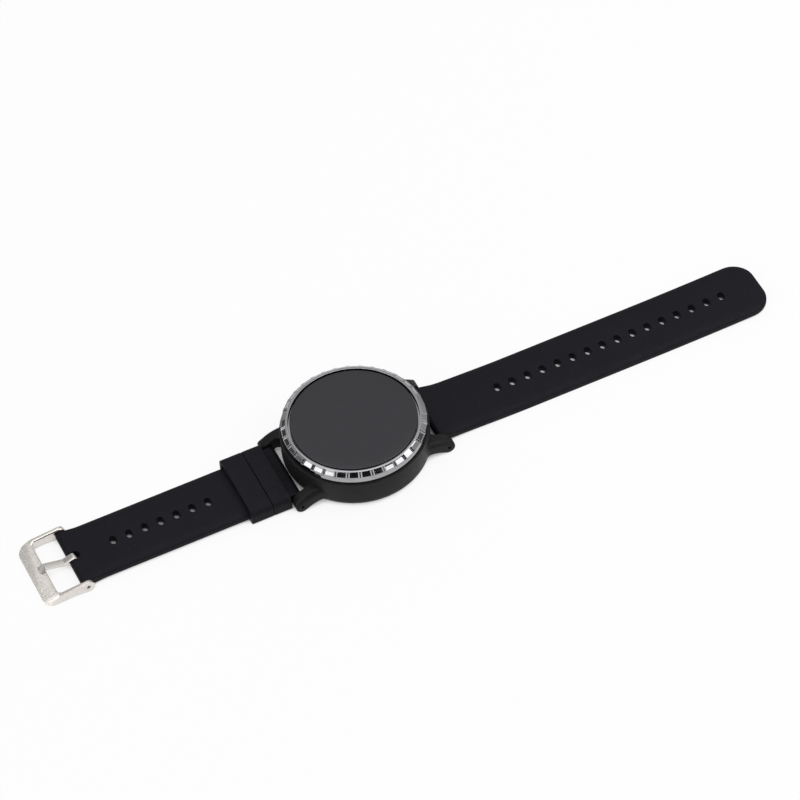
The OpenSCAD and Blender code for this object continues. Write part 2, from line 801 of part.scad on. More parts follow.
module short_strap() {
  color([0.13, 0.13, 0.15]) difference() {
    mirror([1, 0, 0]) side_extrude(-strap_w / 2, strap_w / 2) short_side();
    for (i = [0:short_holes - 1])
      translate([pin_x + short_hole_end + i * hole_pitch, 0, 0]) oval_hole();
    translate([-bar_x, 0, bar_z]) rod_y(tube_r + tunnel_gap, -strap_w, strap_w);
    translate([pin_x, 0, pin_z]) rod_y(pin_r + run_gap, -strap_w, strap_w);
    translate([pin_x - 5, -notch_w / 2, -5]) cube([5 + notch_l - notch_w / 2, notch_w, 20]);
    translate([pin_x + notch_l - notch_w / 2, 0, -5]) cylinder(r = notch_w / 2, h = 20, $fn = 48);
  }
}

// Keepers

module keeper(x1, w) {
  out_w = 2 * (keeper_y + keeper_side_t);
  in_h = keeper_top - 2 * keeper_t;
  color([0.14, 0.14, 0.16]) translate([x1 - w, 0, 0]) rotate([90, 0, 90])
    linear_extrude(w) translate([0, keeper_top / 2]) difference() {
      round_rect([out_w, keeper_top], keeper_out_round);
      round_rect([2 * keeper_y, in_h], keeper_in_round);
    }
}

module inner_keeper() {
  keeper(keeper_x, inner_keeper_w);
}

module outer_keeper() {
  keeper(keeper_x - inner_keeper_w - keeper_split, outer_keeper_w);
}

// Buckle

module arm_side() {
  translate([pin_x, pin_z]) circle(ear_r);
  polygon([[pin_x, 0], [pin_x, 2 * ear_r], [front_x0, bar_top], [front_x1, front_low],
    [front_x1 + front_edge, 0]]);
}

module bar_side() {
  polygon([[front_x0, bar_top], [front_x1, front_low], [front_x1 + front_edge, 0],
    [front_x1 + front_edge + 1, 0], [front_x0, bar_top - bar_t]]);
}

module buckle_frame() {
  plan_l = ear_r + window_l + bar_l + buckle_round + 2;
  color([0.72, 0.7, 0.66]) difference() {
    intersection() {
      union() {
        for (s = [0, 1]) mirror([0, s, 0]) side_extrude(arm_y0, arm_y1) arm_side();
        side_extrude(-arm_y1, arm_y1) bar_side();
      }
      translate([front_x1 + plan_l / 2, 0, -1]) linear_extrude(ear_r * 2 + 3)
        round_rect([plan_l, 2 * arm_y1], buckle_round);
    }
    translate([pin_x, 0, pin_z]) rod_y(pin_r, -arm_y1 - 1, arm_y1 + 1);
  }
}

module buckle_pin() {
  color([0.7, 0.7, 0.72]) translate([pin_x, 0, pin_z])
    rod_y(pin_r, -arm_y1 + pin_sink, arm_y1 - pin_sink);
}

module tongue_side() {
  loop_top = pin_z + loop_r;
  dip_x = pin_x - 3.3;
  crest = bar_top + tongue_gap + tongue_t;
  slope = (bar_top - front_low) / bar_l;
  end_x = front_x0 - 2;
  translate([pin_x, pin_z]) circle(loop_r, $fn = 64);
  polygon([[pin_x, loop_top], [dip_x, loop_top - tongue_dip], [front_x0 + 0.4, crest],
    [front_x0 - 0.2, crest], [end_x, crest - 2 * slope],
    [end_x, crest - 2 * slope - tongue_t * 0.8], [front_x0 - 0.1, bar_top + tongue_gap],
    [front_x0 + 0.6, bar_top + tongue_gap], [dip_x, loop_top - tongue_dip - tongue_t],
    [pin_x, loop_top - tongue_t]]);
}

module buckle_tongue() {
  color([0.7, 0.69, 0.66]) difference() {
    side_extrude(-tongue_w / 2, tongue_w / 2) tongue_side();
    translate([pin_x, 0, pin_z]) rod_y(pin_r + run_gap, -tongue_w, tongue_w);
  }
}

// Spring bars

module bar_tube(x) {
  color([0.75, 0.75, 0.77]) translate([x, 0, bar_z]) difference() {
    rod_y(tube_r, -tube_y, tube_y);
    rod_y(tube_r - tube_wall, -tube_y - 1, tube_y + 1);
  }
}

module bar_tip(x, s) {
  color([0.78, 0.78, 0.8]) translate([x, 0, bar_z]) mirror([0, s < 0 ? 1 : 0, 0]) {
    rod_y(tube_r - tube_wall - run_gap, tube_y - plunger_y, tube_y);
    rod_y(tip_r, tube_y - 1, lug_y0 + tip_reach);
  }
}

module bar_spring(x) {
  color([0.6, 0.6, 0.62]) translate([x, 0, bar_z]) difference() {
    rod_y(tube_r - tube_wall - run_gap, -bar_spring_y, bar_spring_y);
    rod_y(tube_r - tube_wall - 0.25, -bar_spring_y - 1, bar_spring_y + 1);
  }
}

module long_bar_tube() { bar_tube(bar_x); }
module long_bar_spring() { bar_spring(bar_x); }
module long_tip_near() { bar_tip(bar_x, -1); }
module long_tip_far() { bar_tip(bar_x, 1); }
module short_bar_tube() { bar_tube(-bar_x); }
module short_bar_spring() { bar_spring(-bar_x); }
module short_tip_near() { bar_tip(-bar_x, -1); }
module short_tip_far() { bar_tip(-bar_x, 1); }

case_body();
case_back();
back_gasket();
back_screws();
charge_contacts();
tempo_wheel();
wheel_magnet();
glide_ring();
click_plunger();
click_spring();
face_disc();
face_tape();
light_guide();
light_sources();
main_board();
board_chips();
board_screws();
inner_frame();
battery();
battery_foam();
motor_can();
motor_end_cap();
motor_bushing();
motor_boot();
motor_shaft();
motor_armature();
eccentric_weight();
long_strap();
short_strap();
outer_keeper();
inner_keeper();
buckle_frame();
buckle_pin();
buckle_tongue();
long_bar_tube();
long_bar_spring();
long_tip_near();
long_tip_far();
short_bar_tube();
short_bar_spring();
short_tip_near();
short_tip_far();
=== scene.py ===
from math import acos, ceil, cos, pi, radians, sin, sqrt, tan

import bmesh
import bpy
import numpy as np
from mathutils import Matrix, Vector


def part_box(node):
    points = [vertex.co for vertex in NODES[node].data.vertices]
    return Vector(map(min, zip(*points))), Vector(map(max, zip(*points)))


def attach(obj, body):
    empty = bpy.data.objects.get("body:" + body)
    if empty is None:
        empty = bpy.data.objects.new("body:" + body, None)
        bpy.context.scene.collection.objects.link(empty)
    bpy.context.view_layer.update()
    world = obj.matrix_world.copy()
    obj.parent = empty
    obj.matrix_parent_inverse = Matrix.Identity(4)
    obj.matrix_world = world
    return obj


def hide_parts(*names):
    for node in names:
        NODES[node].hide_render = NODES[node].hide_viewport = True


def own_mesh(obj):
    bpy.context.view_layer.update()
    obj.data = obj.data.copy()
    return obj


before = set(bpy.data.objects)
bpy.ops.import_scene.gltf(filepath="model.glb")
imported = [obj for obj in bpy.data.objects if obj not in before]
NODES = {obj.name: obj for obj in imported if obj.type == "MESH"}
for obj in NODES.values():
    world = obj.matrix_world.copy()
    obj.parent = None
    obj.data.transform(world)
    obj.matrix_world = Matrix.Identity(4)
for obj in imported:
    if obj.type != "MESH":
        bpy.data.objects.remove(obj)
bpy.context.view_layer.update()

# Metronome wristwatch, dressed over its CAD model. Lengths are in millimetres until
# a piece is finished, in the CAD's own frame: the origin is on the table on the axis
# of the round case, +X along the long strap, +Y across it, +Z up.

MM = 0.001
for spare in [o for o in bpy.data.objects if o.type in {"CAMERA", "LIGHT"}]:
    bpy.data.objects.remove(spare)

# Sizes, as in the CAD: R is a radius, X, Y and Z are places, T a thickness and L a length

CASE_R, CASE_H, CASE_ROUND = 24.2, 11.6, 3.0
RIM_Z, RIM_IN = 0.5, 20.6
CAVITY_R, DECK_Z, LEDGE_Z, LEDGE_Z0 = 21.0, 10.0, 3.4, 1.8
COLLAR_R, COLLAR_Z, OPEN_R, BACK_OPEN_R = 19.9, 13.85, 14.4, 17.3
BACK_SCREW_RING, BOARD_SCREW_RING, CLICK_RING = 18.9, 15.7, 20.55
FACE_R, FACE_Z0, FACE_Z1 = 20.65, 14.0, 15.3
BAR_X, BAR_Z, TIP_HOLE_R, LUG_CORE_R = 26.0, 2.6, 0.5, 22.5
NOSE_R, LUG_Y0, LUG_Y1, LUG_FOOT, LUG_TOP = 2.2, 11.3, 15.6, 17.2, 7.2
FILLET_IN, FILLET_OUT = 1.2, 2.5
STRAP_Y, STRAP_T, END_R, PIN_END_R = 11.0, 2.85, 1.75, 1.7
LONG_L, SHORT_L = 121.3, 73.2
TIP_X, PIN_X, PIN_Z = BAR_X + LONG_L, -BAR_X - SHORT_L, 2.2
SHORT_Z, PIN_R, BARREL_R = 1.05, 0.75, 2.2
# The holes' spacing, the outermost hole's distance from the tip and from the pin, and the
# radius of the tip's corners
HOLE_STEP, LONG_HOLE, SHORT_HOLE, TIP_ROUND = 5.5, 14, 13.9, 7.2
# Levels of (y, radius) of a spring bar's tunnel
TUNNEL = [(-11.6, 1.05), (-10.95, 0.95), (10.95, 0.95), (11.6, 1.05)]
KEEPERS = {"inner_keeper": (-34.9, -28.5), "outer_keeper": (-42.6, -35.0)}
KEEPER_Y, KEEPER_SIDE, KEEPER_TOP, KEEPER_T = 11.3, 1.7, 6.15, 0.95
ARM_Y0, ARM_Y1 = 11.3, 12.7
FRONT_X0, FRONT_X1, BAR_TOP, FRONT_LOW = PIN_X - 9.7, PIN_X - 14.7, 3.4, 0.9


# Mesh helpers

def new_object(name, data):
    ob = bpy.data.objects.new(name, data)
    bpy.context.scene.collection.objects.link(ob)
    return ob


def mesh_object(name, verts, faces):
    me = bpy.data.meshes.new(name)
    me.from_pydata([tuple(float(c) for c in v) for v in verts], [], [tuple(f) for f in faces])
    bm = bmesh.new()
    bm.from_mesh(me)
    bmesh.ops.remove_doubles(bm, verts=bm.verts, dist=1e-5)
    bmesh.ops.dissolve_degenerate(bm, edges=bm.edges, dist=1e-6)
    bmesh.ops.recalc_face_normals(bm, faces=bm.faces)
    bm.to_mesh(me)
    bm.free()
    return new_object(name, me)


def apply_modifiers(ob):
    bpy.context.view_layer.update()
    me = bpy.data.meshes.new_from_object(ob.evaluated_get(bpy.context.evaluated_depsgraph_get()))
    old = ob.data
    ob.modifiers.clear()
    ob.data = me
    bpy.data.meshes.remove(old)
    me.name = ob.name


def boolean(ob, tool, operation="DIFFERENCE"):
    """Cut, join or intersect with a tool, which is used up"""
    mod = ob.modifiers.new("cut", "BOOLEAN")
    mod.operation, mod.solver, mod.object = operation, "EXACT", tool
    apply_modifiers(ob)
    bpy.data.objects.remove(tool)


def bevel(ob, width, angle, segments):
    """Round every edge that turns by more than the angle"""
    mod = ob.modifiers.new("soft", "BEVEL")
    mod.width, mod.segments, mod.limit_method = width, segments, "ANGLE"
    mod.angle_limit, mod.harden_normals = radians(angle), False
    apply_modifiers(ob)


def soften(points, radii, step=0.25):
    """Closed outline with its corners rounded, each by its own radius"""
    out = []
    for i, (point, r) in enumerate(zip(points, radii)):
        p = Vector(point)
        a, b = Vector(points[i - 1]) - p, Vector(points[(i + 1) % len(points)]) - p
        la, lb = a.length, b.length
        a.normalize()
        b.normalize()
        opening = acos(max(-1, min(1, a.dot(b))))
        if r <= 0 or opening > 3.1:
            out.append(p)
            continue
        t = min(r / tan(opening / 2), 0.49 * la, 0.49 * lb)
        true_r = t * tan(opening / 2)
        c = p + (a + b).normalized() * (true_r / sin(opening / 2))
        v0, v1, w = p + a * t - c, p + b * t - c, pi - opening
        n = max(2, ceil(w * true_r / step), ceil(w / 0.3))
        for k in range(n + 1):
            u = k / n
            out.append(c + (v0 * sin((1 - u) * w) + v1 * sin(u * w)) / sin(w))
    return [(p[0], p[1]) for p in out]


def arc(cx, cy, r, a0, a1, n):
    """Points on a circle from one angle to another, in n equal steps"""
    turns = [radians(a0 + (a1 - a0) * i / n) for i in range(n + 1)]
    return [(cx + r * cos(a), cy + r * sin(a)) for a in turns]


def loft_faces(rows, n, base=0, closed=False):
    """Faces between rows of n points that run round; closed joins the last row to the first"""
    faces = []
    for j in range(rows if closed else rows - 1):
        low, high = base + j * n, base + (j + 1) % rows * n
        faces += [(low + k, low + (k + 1) % n, high + (k + 1) % n, high + k) for k in range(n)]
    return faces


def capped_faces(rows, n, base=0):
    """The same with a flat cap on the first row and one on the last"""
    caps = [range(base, base + n), range(base + (rows - 1) * n, base + rows * n)]
    return loft_faces(rows, n, base) + caps


def revolve(name, profile, n=288):
    """Closed solid from a closed outline of (radius, height) turned about Z"""
    verts, rings, faces = [], [], []
    for r, z in profile:
        if r < 1e-6:
            rings.append([len(verts)] * n)
            verts.append((0, 0, z))
        else:
            rings.append(list(range(len(verts), len(verts) + n)))
            verts += [(r * cos(2 * pi * k / n), r * sin(2 * pi * k / n), z) for k in range(n)]
    for i, low in enumerate(rings):
        high = rings[(i + 1) % len(rings)]
        if low[0] == low[1] and high[0] == high[1]:
            continue
        for k in range(n):
            ring = [low[k], low[(k + 1) % n], high[(k + 1) % n], high[k]]
            faces.append(list(dict.fromkeys(ring)))
    return mesh_object(name, verts, faces)


def rods(name, items, n=32):
    """One mesh of separate upright rods, each (x, y, levels of (height, radius))"""
    verts, faces = [], []
    for x, y, levels in items:
        faces += capped_faces(len(levels), n, len(verts))
        for z, r in levels:
            verts += [(x + r * cos(2 * pi * k / n), y + r * sin(2 * pi * k / n), z) for k in range(n)]
    return mesh_object(name, verts, faces)


def rods_y(name, items):
    """The same, lying along Y: each (x, z, levels of (y, radius))"""
    ob = rods(name, items)
    ob.data.transform(Matrix(((1, 0, 0, 0), (0, 0, 1, 0), (0, 1, 0, 0), (0, 0, 0, 1))))
    ob.data.flip_normals()
    return ob


def slab(name, outline, y0, y1):
    """Side outline of (x, z) made solid between two places along Y"""
    verts = [(x, y, z) for y in (y0, y1) for x, z in outline]
    return mesh_object(name, verts, capped_faces(2, len(outline)))


def plate(name, outline, z0, z1):
    """Plan outline of (x, y) made solid between two heights"""
    verts = [(x, y, z) for z in (z0, z1) for x, y in outline]
    return mesh_object(name, verts, capped_faces(2, len(outline)))


def finish_piece(ob, body, slot, nodes, sharp, material=None):
    """Bring a piece to metres, give it its slot's material or another, keep the edges sharp that
    turn by more than an angle, hang it under its body's empty and hide the CAD nodes it stands for"""
    ob.data.transform(Matrix.Scale(MM, 4))
    ob.data.materials.clear()
    ob.data.materials.append(material or MATERIALS[slot])
    for face in ob.data.polygons:
        face.use_smooth = True
        face.material_index = 0
    ob.data.set_sharp_from_angle(angle=radians(sharp))
    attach(ob, body)
    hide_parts(*nodes)


def smooth(u):
    """Soft step from 0 to 1 while u goes from 0 to 1"""
    v = max(0.0, min(1.0, u))
    return v * v * (3 - 2 * v)


def mix(a, b, u):
    return a + (b - a) * u


def bezier(p, t):
    w = ((1 - t) ** 3, 3 * t * (1 - t) ** 2, 3 * t * t * (1 - t), t ** 3)
    return tuple(sum(w[k] * p[k][c] for k in range(4)) for c in (0, 1))


def polar(r, a):
    return r * cos(radians(a)), r * sin(radians(a))


# Materials

class Graph:
    """The node tree of a material or a world"""

    def __init__(self, owner, empty=True):
        owner.use_nodes = True
        self.tree = owner.node_tree
        if empty:
            self.tree.nodes.clear()

    def feed(self, socket, value):
        """Give an input a fixed value or another node's result"""
        if isinstance(value, bpy.types.NodeSocket):
            self.tree.links.new(value, socket)
        else:
            socket.default_value = value

    def node(self, kind, inputs={}, **settings):
        """New node; its inputs are named or counted from 0"""
        nd = self.tree.nodes.new(kind)
        for key, value in settings.items():
            setattr(nd, key, value)
        for key, value in inputs.items():
            self.feed(nd.inputs[key], value)
        return nd

    def maths(self, operation, *values):
        return self.node("ShaderNodeMath", dict(enumerate(values)), operation=operation).outputs[0]

    def blend(self, share, first, second):
        """Shader that goes from the first to the second with the share"""
        return self.node("ShaderNodeMixShader", {0: share, 1: first.outputs[0], 2: second.outputs[0]})

    def ramp(self, source, stops):
        """Colour by stops of (place, colour or grey value)"""
        r = self.node("ShaderNodeValToRGB", {"Fac": source})
        while len(r.color_ramp.elements) < len(stops):
            r.color_ramp.elements.new(0.5)
        for e, (at, colour) in zip(r.color_ramp.elements, stops):
            e.position = at
            e.color = tuple(colour) + (1,) if hasattr(colour, "__len__") else (colour,) * 3 + (1,)
        return r.outputs["Color"]

    def spread(self, source, low, high, at=(0.3, 0.7)):
        """Values from low to high while the source goes through the range at"""
        return self.node("ShaderNodeMapRange", {
            "Value": source, "From Min": at[0], "From Max": at[1], "To Min": low, "To Max": high,
        }).outputs["Result"]


class Finish(Graph):
    """A Principled material with its detail built from nodes on object coordinates"""

    def __init__(self, name, rough, metallic=0.0, **inputs):
        self.mat = bpy.data.materials.new(name)
        super().__init__(self.mat, empty=False)
        self.bsdf = self.tree.nodes["Principled BSDF"]
        for key, value in {"Roughness": rough, "Metallic": metallic, **inputs}.items():
            self.feed(self.bsdf.inputs[key.replace("_", " ")], value)
        self.coord = self.node("ShaderNodeTexCoord").outputs["Object"]

    def stretched(self, scale, turn=(0, 0, 0)):
        values = {"Scale": scale, "Rotation": turn, "Vector": self.coord}
        return self.node("ShaderNodeMapping", values).outputs["Vector"]

    def noise(self, scale, detail=3.0, rough=0.5, vector=None):
        return self.node("ShaderNodeTexNoise", {
            "Scale": scale, "Detail": detail, "Roughness": rough, "Vector": vector or self.coord,
        }).outputs["Fac"]

    def colour(self, source, low, high, at=(0.3, 0.7)):
        self.feed(self.bsdf.inputs["Base Color"], self.ramp(source, [(at[0], low), (at[1], high)]))

    def rough(self, source, low, high):
        self.feed(self.bsdf.inputs["Roughness"], self.spread(source, low, high))

    def bump(self, source, depth, strength):
        values = {"Distance": depth * MM, "Strength": strength, "Height": source}
        self.feed(self.bsdf.inputs["Normal"], self.node("ShaderNodeBump", values).outputs["Normal"])


def grey(v, warm=0.0):
    return (v * (1 + warm), v, v * (1 - warm))


def plastic(name, low, high, rough, grain, depth, warm=0.0, **inputs):
    f = Finish(name, rough, **inputs)
    f.colour(f.noise(260, 4), grey(low, warm), grey(high, warm))
    f.rough(f.noise(900, 3), rough - 0.05, rough + 0.06)
    f.bump(f.noise(grain, 2, 0.6), depth, 0.5)
    return f.mat


def metal(name, low, high, rough, warm, streak=(2500, 2500, 2500), depth=0.002):
    f = Finish(name, rough, 1.0)
    f.colour(f.noise(300, 4), grey(low, warm), grey(high, warm))
    lines = f.noise(1.0, 3, 0.55, f.stretched(streak))
    f.rough(lines, rough - 0.06, rough + 0.08)
    f.bump(lines, depth, 0.35)
    return f.mat


def case_finish():
    f = Finish("fine_matte_black", 0.42, Specular_IOR_Level=0.14)
    f.colour(f.noise(180, 4), (0.0105, 0.0105, 0.0108), (0.0132, 0.0132, 0.0135))
    f.rough(f.noise(700, 4), 0.40, 0.50)
    f.bump(f.noise(9500, 2, 0.6), 0.006, 0.45)
    return f.mat


def silicone(name):
    """Soft black with a few pale specks of dust"""
    f = Finish(name, 0.5, Specular_IOR_Level=0.11)
    base = f.ramp(f.noise(90, 4, 0.55), [(0.3, (0.0070, 0.0064, 0.0094)),
                                         (0.7, (0.0086, 0.0079, 0.0112))])
    dust = f.node("ShaderNodeTexVoronoi", {"Scale": 420, "Vector": f.coord}).outputs
    specks = f.ramp(dust["Distance"], [(0.045, 1.0), (0.075, 0.0)])
    pick = f.node("ShaderNodeTexWhiteNoise", {"Vector": dust["Position"]})
    few = f.ramp(pick.outputs["Value"], [(0.035, 1.0), (0.04, 0.0)])
    blend = f.node("ShaderNodeMix", {"Factor": f.maths("MULTIPLY", specks, few), "A": base,
                                     "B": (0.06, 0.06, 0.064, 1)}, data_type="RGBA")
    f.feed(f.bsdf.inputs["Base Color"], blend.outputs["Result"])
    f.rough(f.noise(600, 4), 0.5, 0.62)
    f.bump(f.noise(7000, 3, 0.6), 0.008, 0.5)
    return f.mat


def face_finish():
    f = Finish("satin_dark_panel", 0.28)
    f.colour(f.noise(70, 3), (0.0100, 0.0092, 0.0142), (0.0112, 0.0104, 0.0158))
    f.rough(f.noise(260, 4), 0.27, 0.31)
    f.bump(f.noise(14000, 2, 0.5), 0.002, 0.35)
    return f.mat


def wheel_finish():
    f = Finish("dark_chrome", 0.1, 1.0)
    f.colour(f.noise(220, 4), (0.335, 0.335, 0.35), (0.385, 0.385, 0.40))
    f.rough(f.noise(2400, 4, 0.6), 0.07, 0.13)
    f.bump(f.noise(5200, 3, 0.6), 0.0025, 0.3)
    return f.mat


def brushed_steel(name, low, high, brushed_and_painted_bright_front):
    """Steel with fine lines along X. With a brushed front, the slope that faces -X is rougher than the
    rest, which is only finely ground, and its base colour is painted lighter: a painted highlight for
    the bright reflection on that slope."""
    f = Finish(name, 0.3, 1.0)
    lines = f.noise(1.0, 4, 0.62, f.stretched((420, 9000, 420), (0, 0, radians(2))))
    wide = f.noise(1.0, 2, 0.5, f.stretched((90, 2400, 90), (0, 0, radians(2))))
    tone = f.maths("ADD", f.spread(lines, 0, 0.5), f.spread(wide, 0, 0.5))
    rough = f.spread(lines, low, high)
    if brushed_and_painted_bright_front:
        normal = f.node("ShaderNodeTexCoord").outputs["Normal"]
        facing = f.node("ShaderNodeSeparateXYZ", {0: normal})
        front = f.spread(facing.outputs["X"], 1.0, 0.0, (-0.42, -0.25))
        share = f.spread(f.maths("MULTIPLY_ADD", front, 0.7, tone), 0.0, 1.0, (0.0, 1.7))
        # Painted highlight: the base colour grows lighter on faces turned towards -X, standing in for
        # the bright reflection there; the added roughness is the real brushing
        tones = [(0.06, (0.66, 0.625, 0.59)), (0.53, (0.83, 0.79, 0.745)), (0.94, (0.99, 0.94, 0.88))]
        f.feed(f.bsdf.inputs["Base Color"], f.ramp(share, tones))
        rough = f.maths("MULTIPLY_ADD", front, 0.2, rough)
    else:
        f.colour(tone, (0.60, 0.57, 0.54), (0.76, 0.73, 0.70), (0.1, 0.9))
    f.feed(f.bsdf.inputs["Roughness"], rough)
    f.bump(lines, 0.016 if brushed_and_painted_bright_front else 0.003, 0.6)
    return f.mat


def clear_guide():
    f = Finish("frosted_clear", 0.32, Transmission_Weight=0.75, IOR=1.49)
    f.colour(f.noise(300, 3), (0.78, 0.80, 0.82), (0.86, 0.88, 0.9))
    f.bump(f.noise(5000, 3), 0.004, 0.4)
    return f.mat


def wound_copper():
    f = Finish("wound_copper", 0.3, 1.0)
    wire = f.node("ShaderNodeTexWave", {"Scale": 1500, "Distortion": 0.4, "Vector": f.coord},
                  wave_type="BANDS", bands_direction="Y").outputs["Fac"]
    f.colour(wire, (0.30, 0.11, 0.05), (0.72, 0.32, 0.17), (0.1, 0.9))
    f.rough(f.noise(1200), 0.24, 0.4)
    f.bump(wire, 0.03, 0.6)
    return f.mat


def board_finish():
    f = Finish("solder_mask_green", 0.35)
    tracks = f.node("ShaderNodeTexBrick", {
        "Vector": f.coord, "Scale": 700, "Mortar Size": 0.09, "Color1": (0.012, 0.085, 0.04, 1),
        "Color2": (0.014, 0.095, 0.045, 1), "Mortar": (0.03, 0.17, 0.085, 1)}).outputs
    f.feed(f.bsdf.inputs["Base Color"], tracks["Color"])
    f.rough(f.noise(1500), 0.28, 0.42)
    f.bump(tracks["Fac"], 0.02, 0.5)
    return f.mat


MATERIALS = {
    "case_metal": case_finish(),
    "back_plastic": plastic("back_shell_black", 0.021, 0.030, 0.5, 6500, 0.02),
    "gasket_rubber": plastic("seal_rubber", 0.055, 0.075, 0.65, 4000, 0.02),
    "screw_steel": metal("screw_steel", 0.48, 0.6, 0.26, 0.01, (4000, 4000, 700)),
    "contact_gold": metal("contact_gold", 0.62, 0.7, 0.22, 0.32),
    "wheel_metal": wheel_finish(),
    "magnet_dark": metal("magnet_nickel", 0.24, 0.3, 0.32, 0.02),
    "glide_white": plastic("glide_polymer", 0.62, 0.7, 0.38, 5000, 0.01, 0.01),
    "pin_steel": metal("turned_steel", 0.30, 0.38, 0.24, 0.01, (300, 9000, 300)),
    "spring_steel": metal("spring_wire", 0.42, 0.52, 0.28, 0.0, (200, 7000, 200), 0.01),
    "face_panel": face_finish(),
    "tape_black": plastic("adhesive_foam", 0.012, 0.02, 0.8, 3000, 0.03),
    "guide_clear": clear_guide(),
    "light_lens": plastic("lamp_lens", 0.6, 0.72, 0.25, 3000, 0.01, 0.05, Subsurface_Weight=0.15),
    "board_green": board_finish(),
    "chip_black": plastic("chip_moulding", 0.018, 0.028, 0.55, 8000, 0.01),
    "frame_metal": metal("stamped_frame", 0.5, 0.6, 0.36, 0.0, (600, 6000, 600), 0.004),
    "battery_foil": metal("cell_foil", 0.5, 0.62, 0.38, 0.02, (900, 900, 900), 0.03),
    "foam_black": plastic("open_foam", 0.012, 0.024, 0.85, 2600, 0.12),
    "motor_steel": metal("drawn_steel", 0.5, 0.6, 0.27, 0.0, (7000, 300, 7000)),
    "cap_plastic": plastic("cap_plastic", 0.03, 0.045, 0.42, 5000, 0.01),
    "bushing_bronze": metal("sintered_bronze", 0.42, 0.5, 0.42, 0.28, (6000, 6000, 6000), 0.01),
    "winding_copper": wound_copper(),
    "weight_metal": metal("dense_alloy", 0.3, 0.38, 0.4, 0.03, (3000, 3000, 3000), 0.01),
    "strap_silicone": silicone("strap_silicone"),
    "keeper_silicone": silicone("keeper_silicone"),
    # The frame's front slope carries a painted highlight in its base colour
    "buckle_steel": brushed_steel("brushed_steel", 0.2, 0.3, True),
}


# Case

def lug_shape():
    """Side outline of a lug as matched stations: x, top and underside"""
    def nose(a):
        return BAR_X + NOSE_R * cos(radians(a)), BAR_Z + NOSE_R * sin(radians(a))

    top = [bezier([(LUG_FOOT, LUG_TOP + 0.1), (22.5, LUG_TOP), (25.6, LUG_TOP - 0.9), nose(35)],
                  i / 60) for i in range(61)]
    top += [nose(35 - 35 * i / 24) for i in range(1, 25)]
    low = [bezier([nose(-110), (23.5, BAR_Z - 1.2), (21.5, BAR_Z + 0.2), (LUG_FOOT, BAR_Z + 0.2)],
                  1 - i / 60) for i in range(61)]
    low += [nose(-110 + 110 * i / 48) for i in range(1, 49)]
    xs = list(np.linspace(LUG_FOOT, 25.2, 22)) + [nose(a)[0] for a in np.linspace(108, 6, 18)]
    zt = np.interp(xs, [p[0] for p in top], [p[1] for p in top])
    zl = np.interp(xs, [p[0] for p in low], [p[1] for p in low])
    return xs, zt, zl


def fillet_y(x, y, r, side):
    """Side plane of a lug, bent along the round fillet into the case wall"""
    cy = y + side * r
    cx = sqrt((CASE_R + r) ** 2 - cy ** 2)
    foot = cx * CASE_R / (CASE_R + r)
    if x >= cx:
        return y
    return cy - side * sqrt(max(0.0, r * r - (max(x, foot) - cx) ** 2))


def make_lug(sx, sy):
    """Lug towards +X or -X and +Y or -Y: its side outline, drawn in towards both side planes.
    The outer edge is rounded widely on top and a little below, the inner one a little all round."""
    xs, zt, zl = lug_shape()
    m = len(xs)
    loop = [(x, z) for x, z in zip(xs, zt)] + [(BAR_X + NOSE_R, BAR_Z)]
    loop = np.array(loop + [(x, z) for x, z in zip(xs[::-1], zl[::-1])])
    n = len(loop)
    along = np.roll(loop, -1, 0) - np.roll(loop, 1, 0)
    along[0], along[-1] = loop[1] - loop[0], loop[-1] - loop[-2]
    along /= np.linalg.norm(along, axis=1)[:, None]
    inward = np.stack([along[:, 1], -along[:, 0]], 1)
    turn = np.degrees(np.arctan2(loop[:, 1] - BAR_Z, loop[:, 0] - BAR_X))

    def top_share(i):
        """1 on the upper side, 0 on the underside and between the two round the nose"""
        if i < m and loop[i, 0] < BAR_X:
            return 1.0
        if turn[i] > -90 and loop[i, 0] > BAR_X - 1:
            return smooth((turn[i] + 40) / 130)
        return 0.0

    on_top = np.array([top_share(i) for i in range(n)])
    steps = [radians(a) for a in np.linspace(0, 90, 11)]
    layers = [(0.55 * (1 - sin(a)), 0.5 * (1 - cos(a)), -1) for a in steps[::2]]
    layers += [(1 - sin(a), 1 - cos(a), 1) for a in steps[::-1]]
    verts = []
    for inset, dy, side in layers:
        deep = 0.3 + 1.6 * on_top if side > 0 else np.ones(n)
        broad = 0.3 + 1.5 * on_top
        pts = loop + inward * (inset * deep)[:, None]
        for (x, z), b in zip(pts, broad):
            if side < 0:
                y = fillet_y(x, LUG_Y0, FILLET_IN, -1) + dy
            else:
                y = fillet_y(x, LUG_Y1, FILLET_OUT, 1) - dy * b
            verts.append((sx * x, sy * y, z))
    faces = loft_faces(len(layers), n)
    for base in (0, (len(layers) - 1) * n):
        for i in range(m - 1):
            faces.append((base + i, base + i + 1, base + n - 2 - i, base + n - 1 - i))
        faces.append((base + m - 1, base + m, base + m + 1))
    return mesh_object("lug", verts, faces)


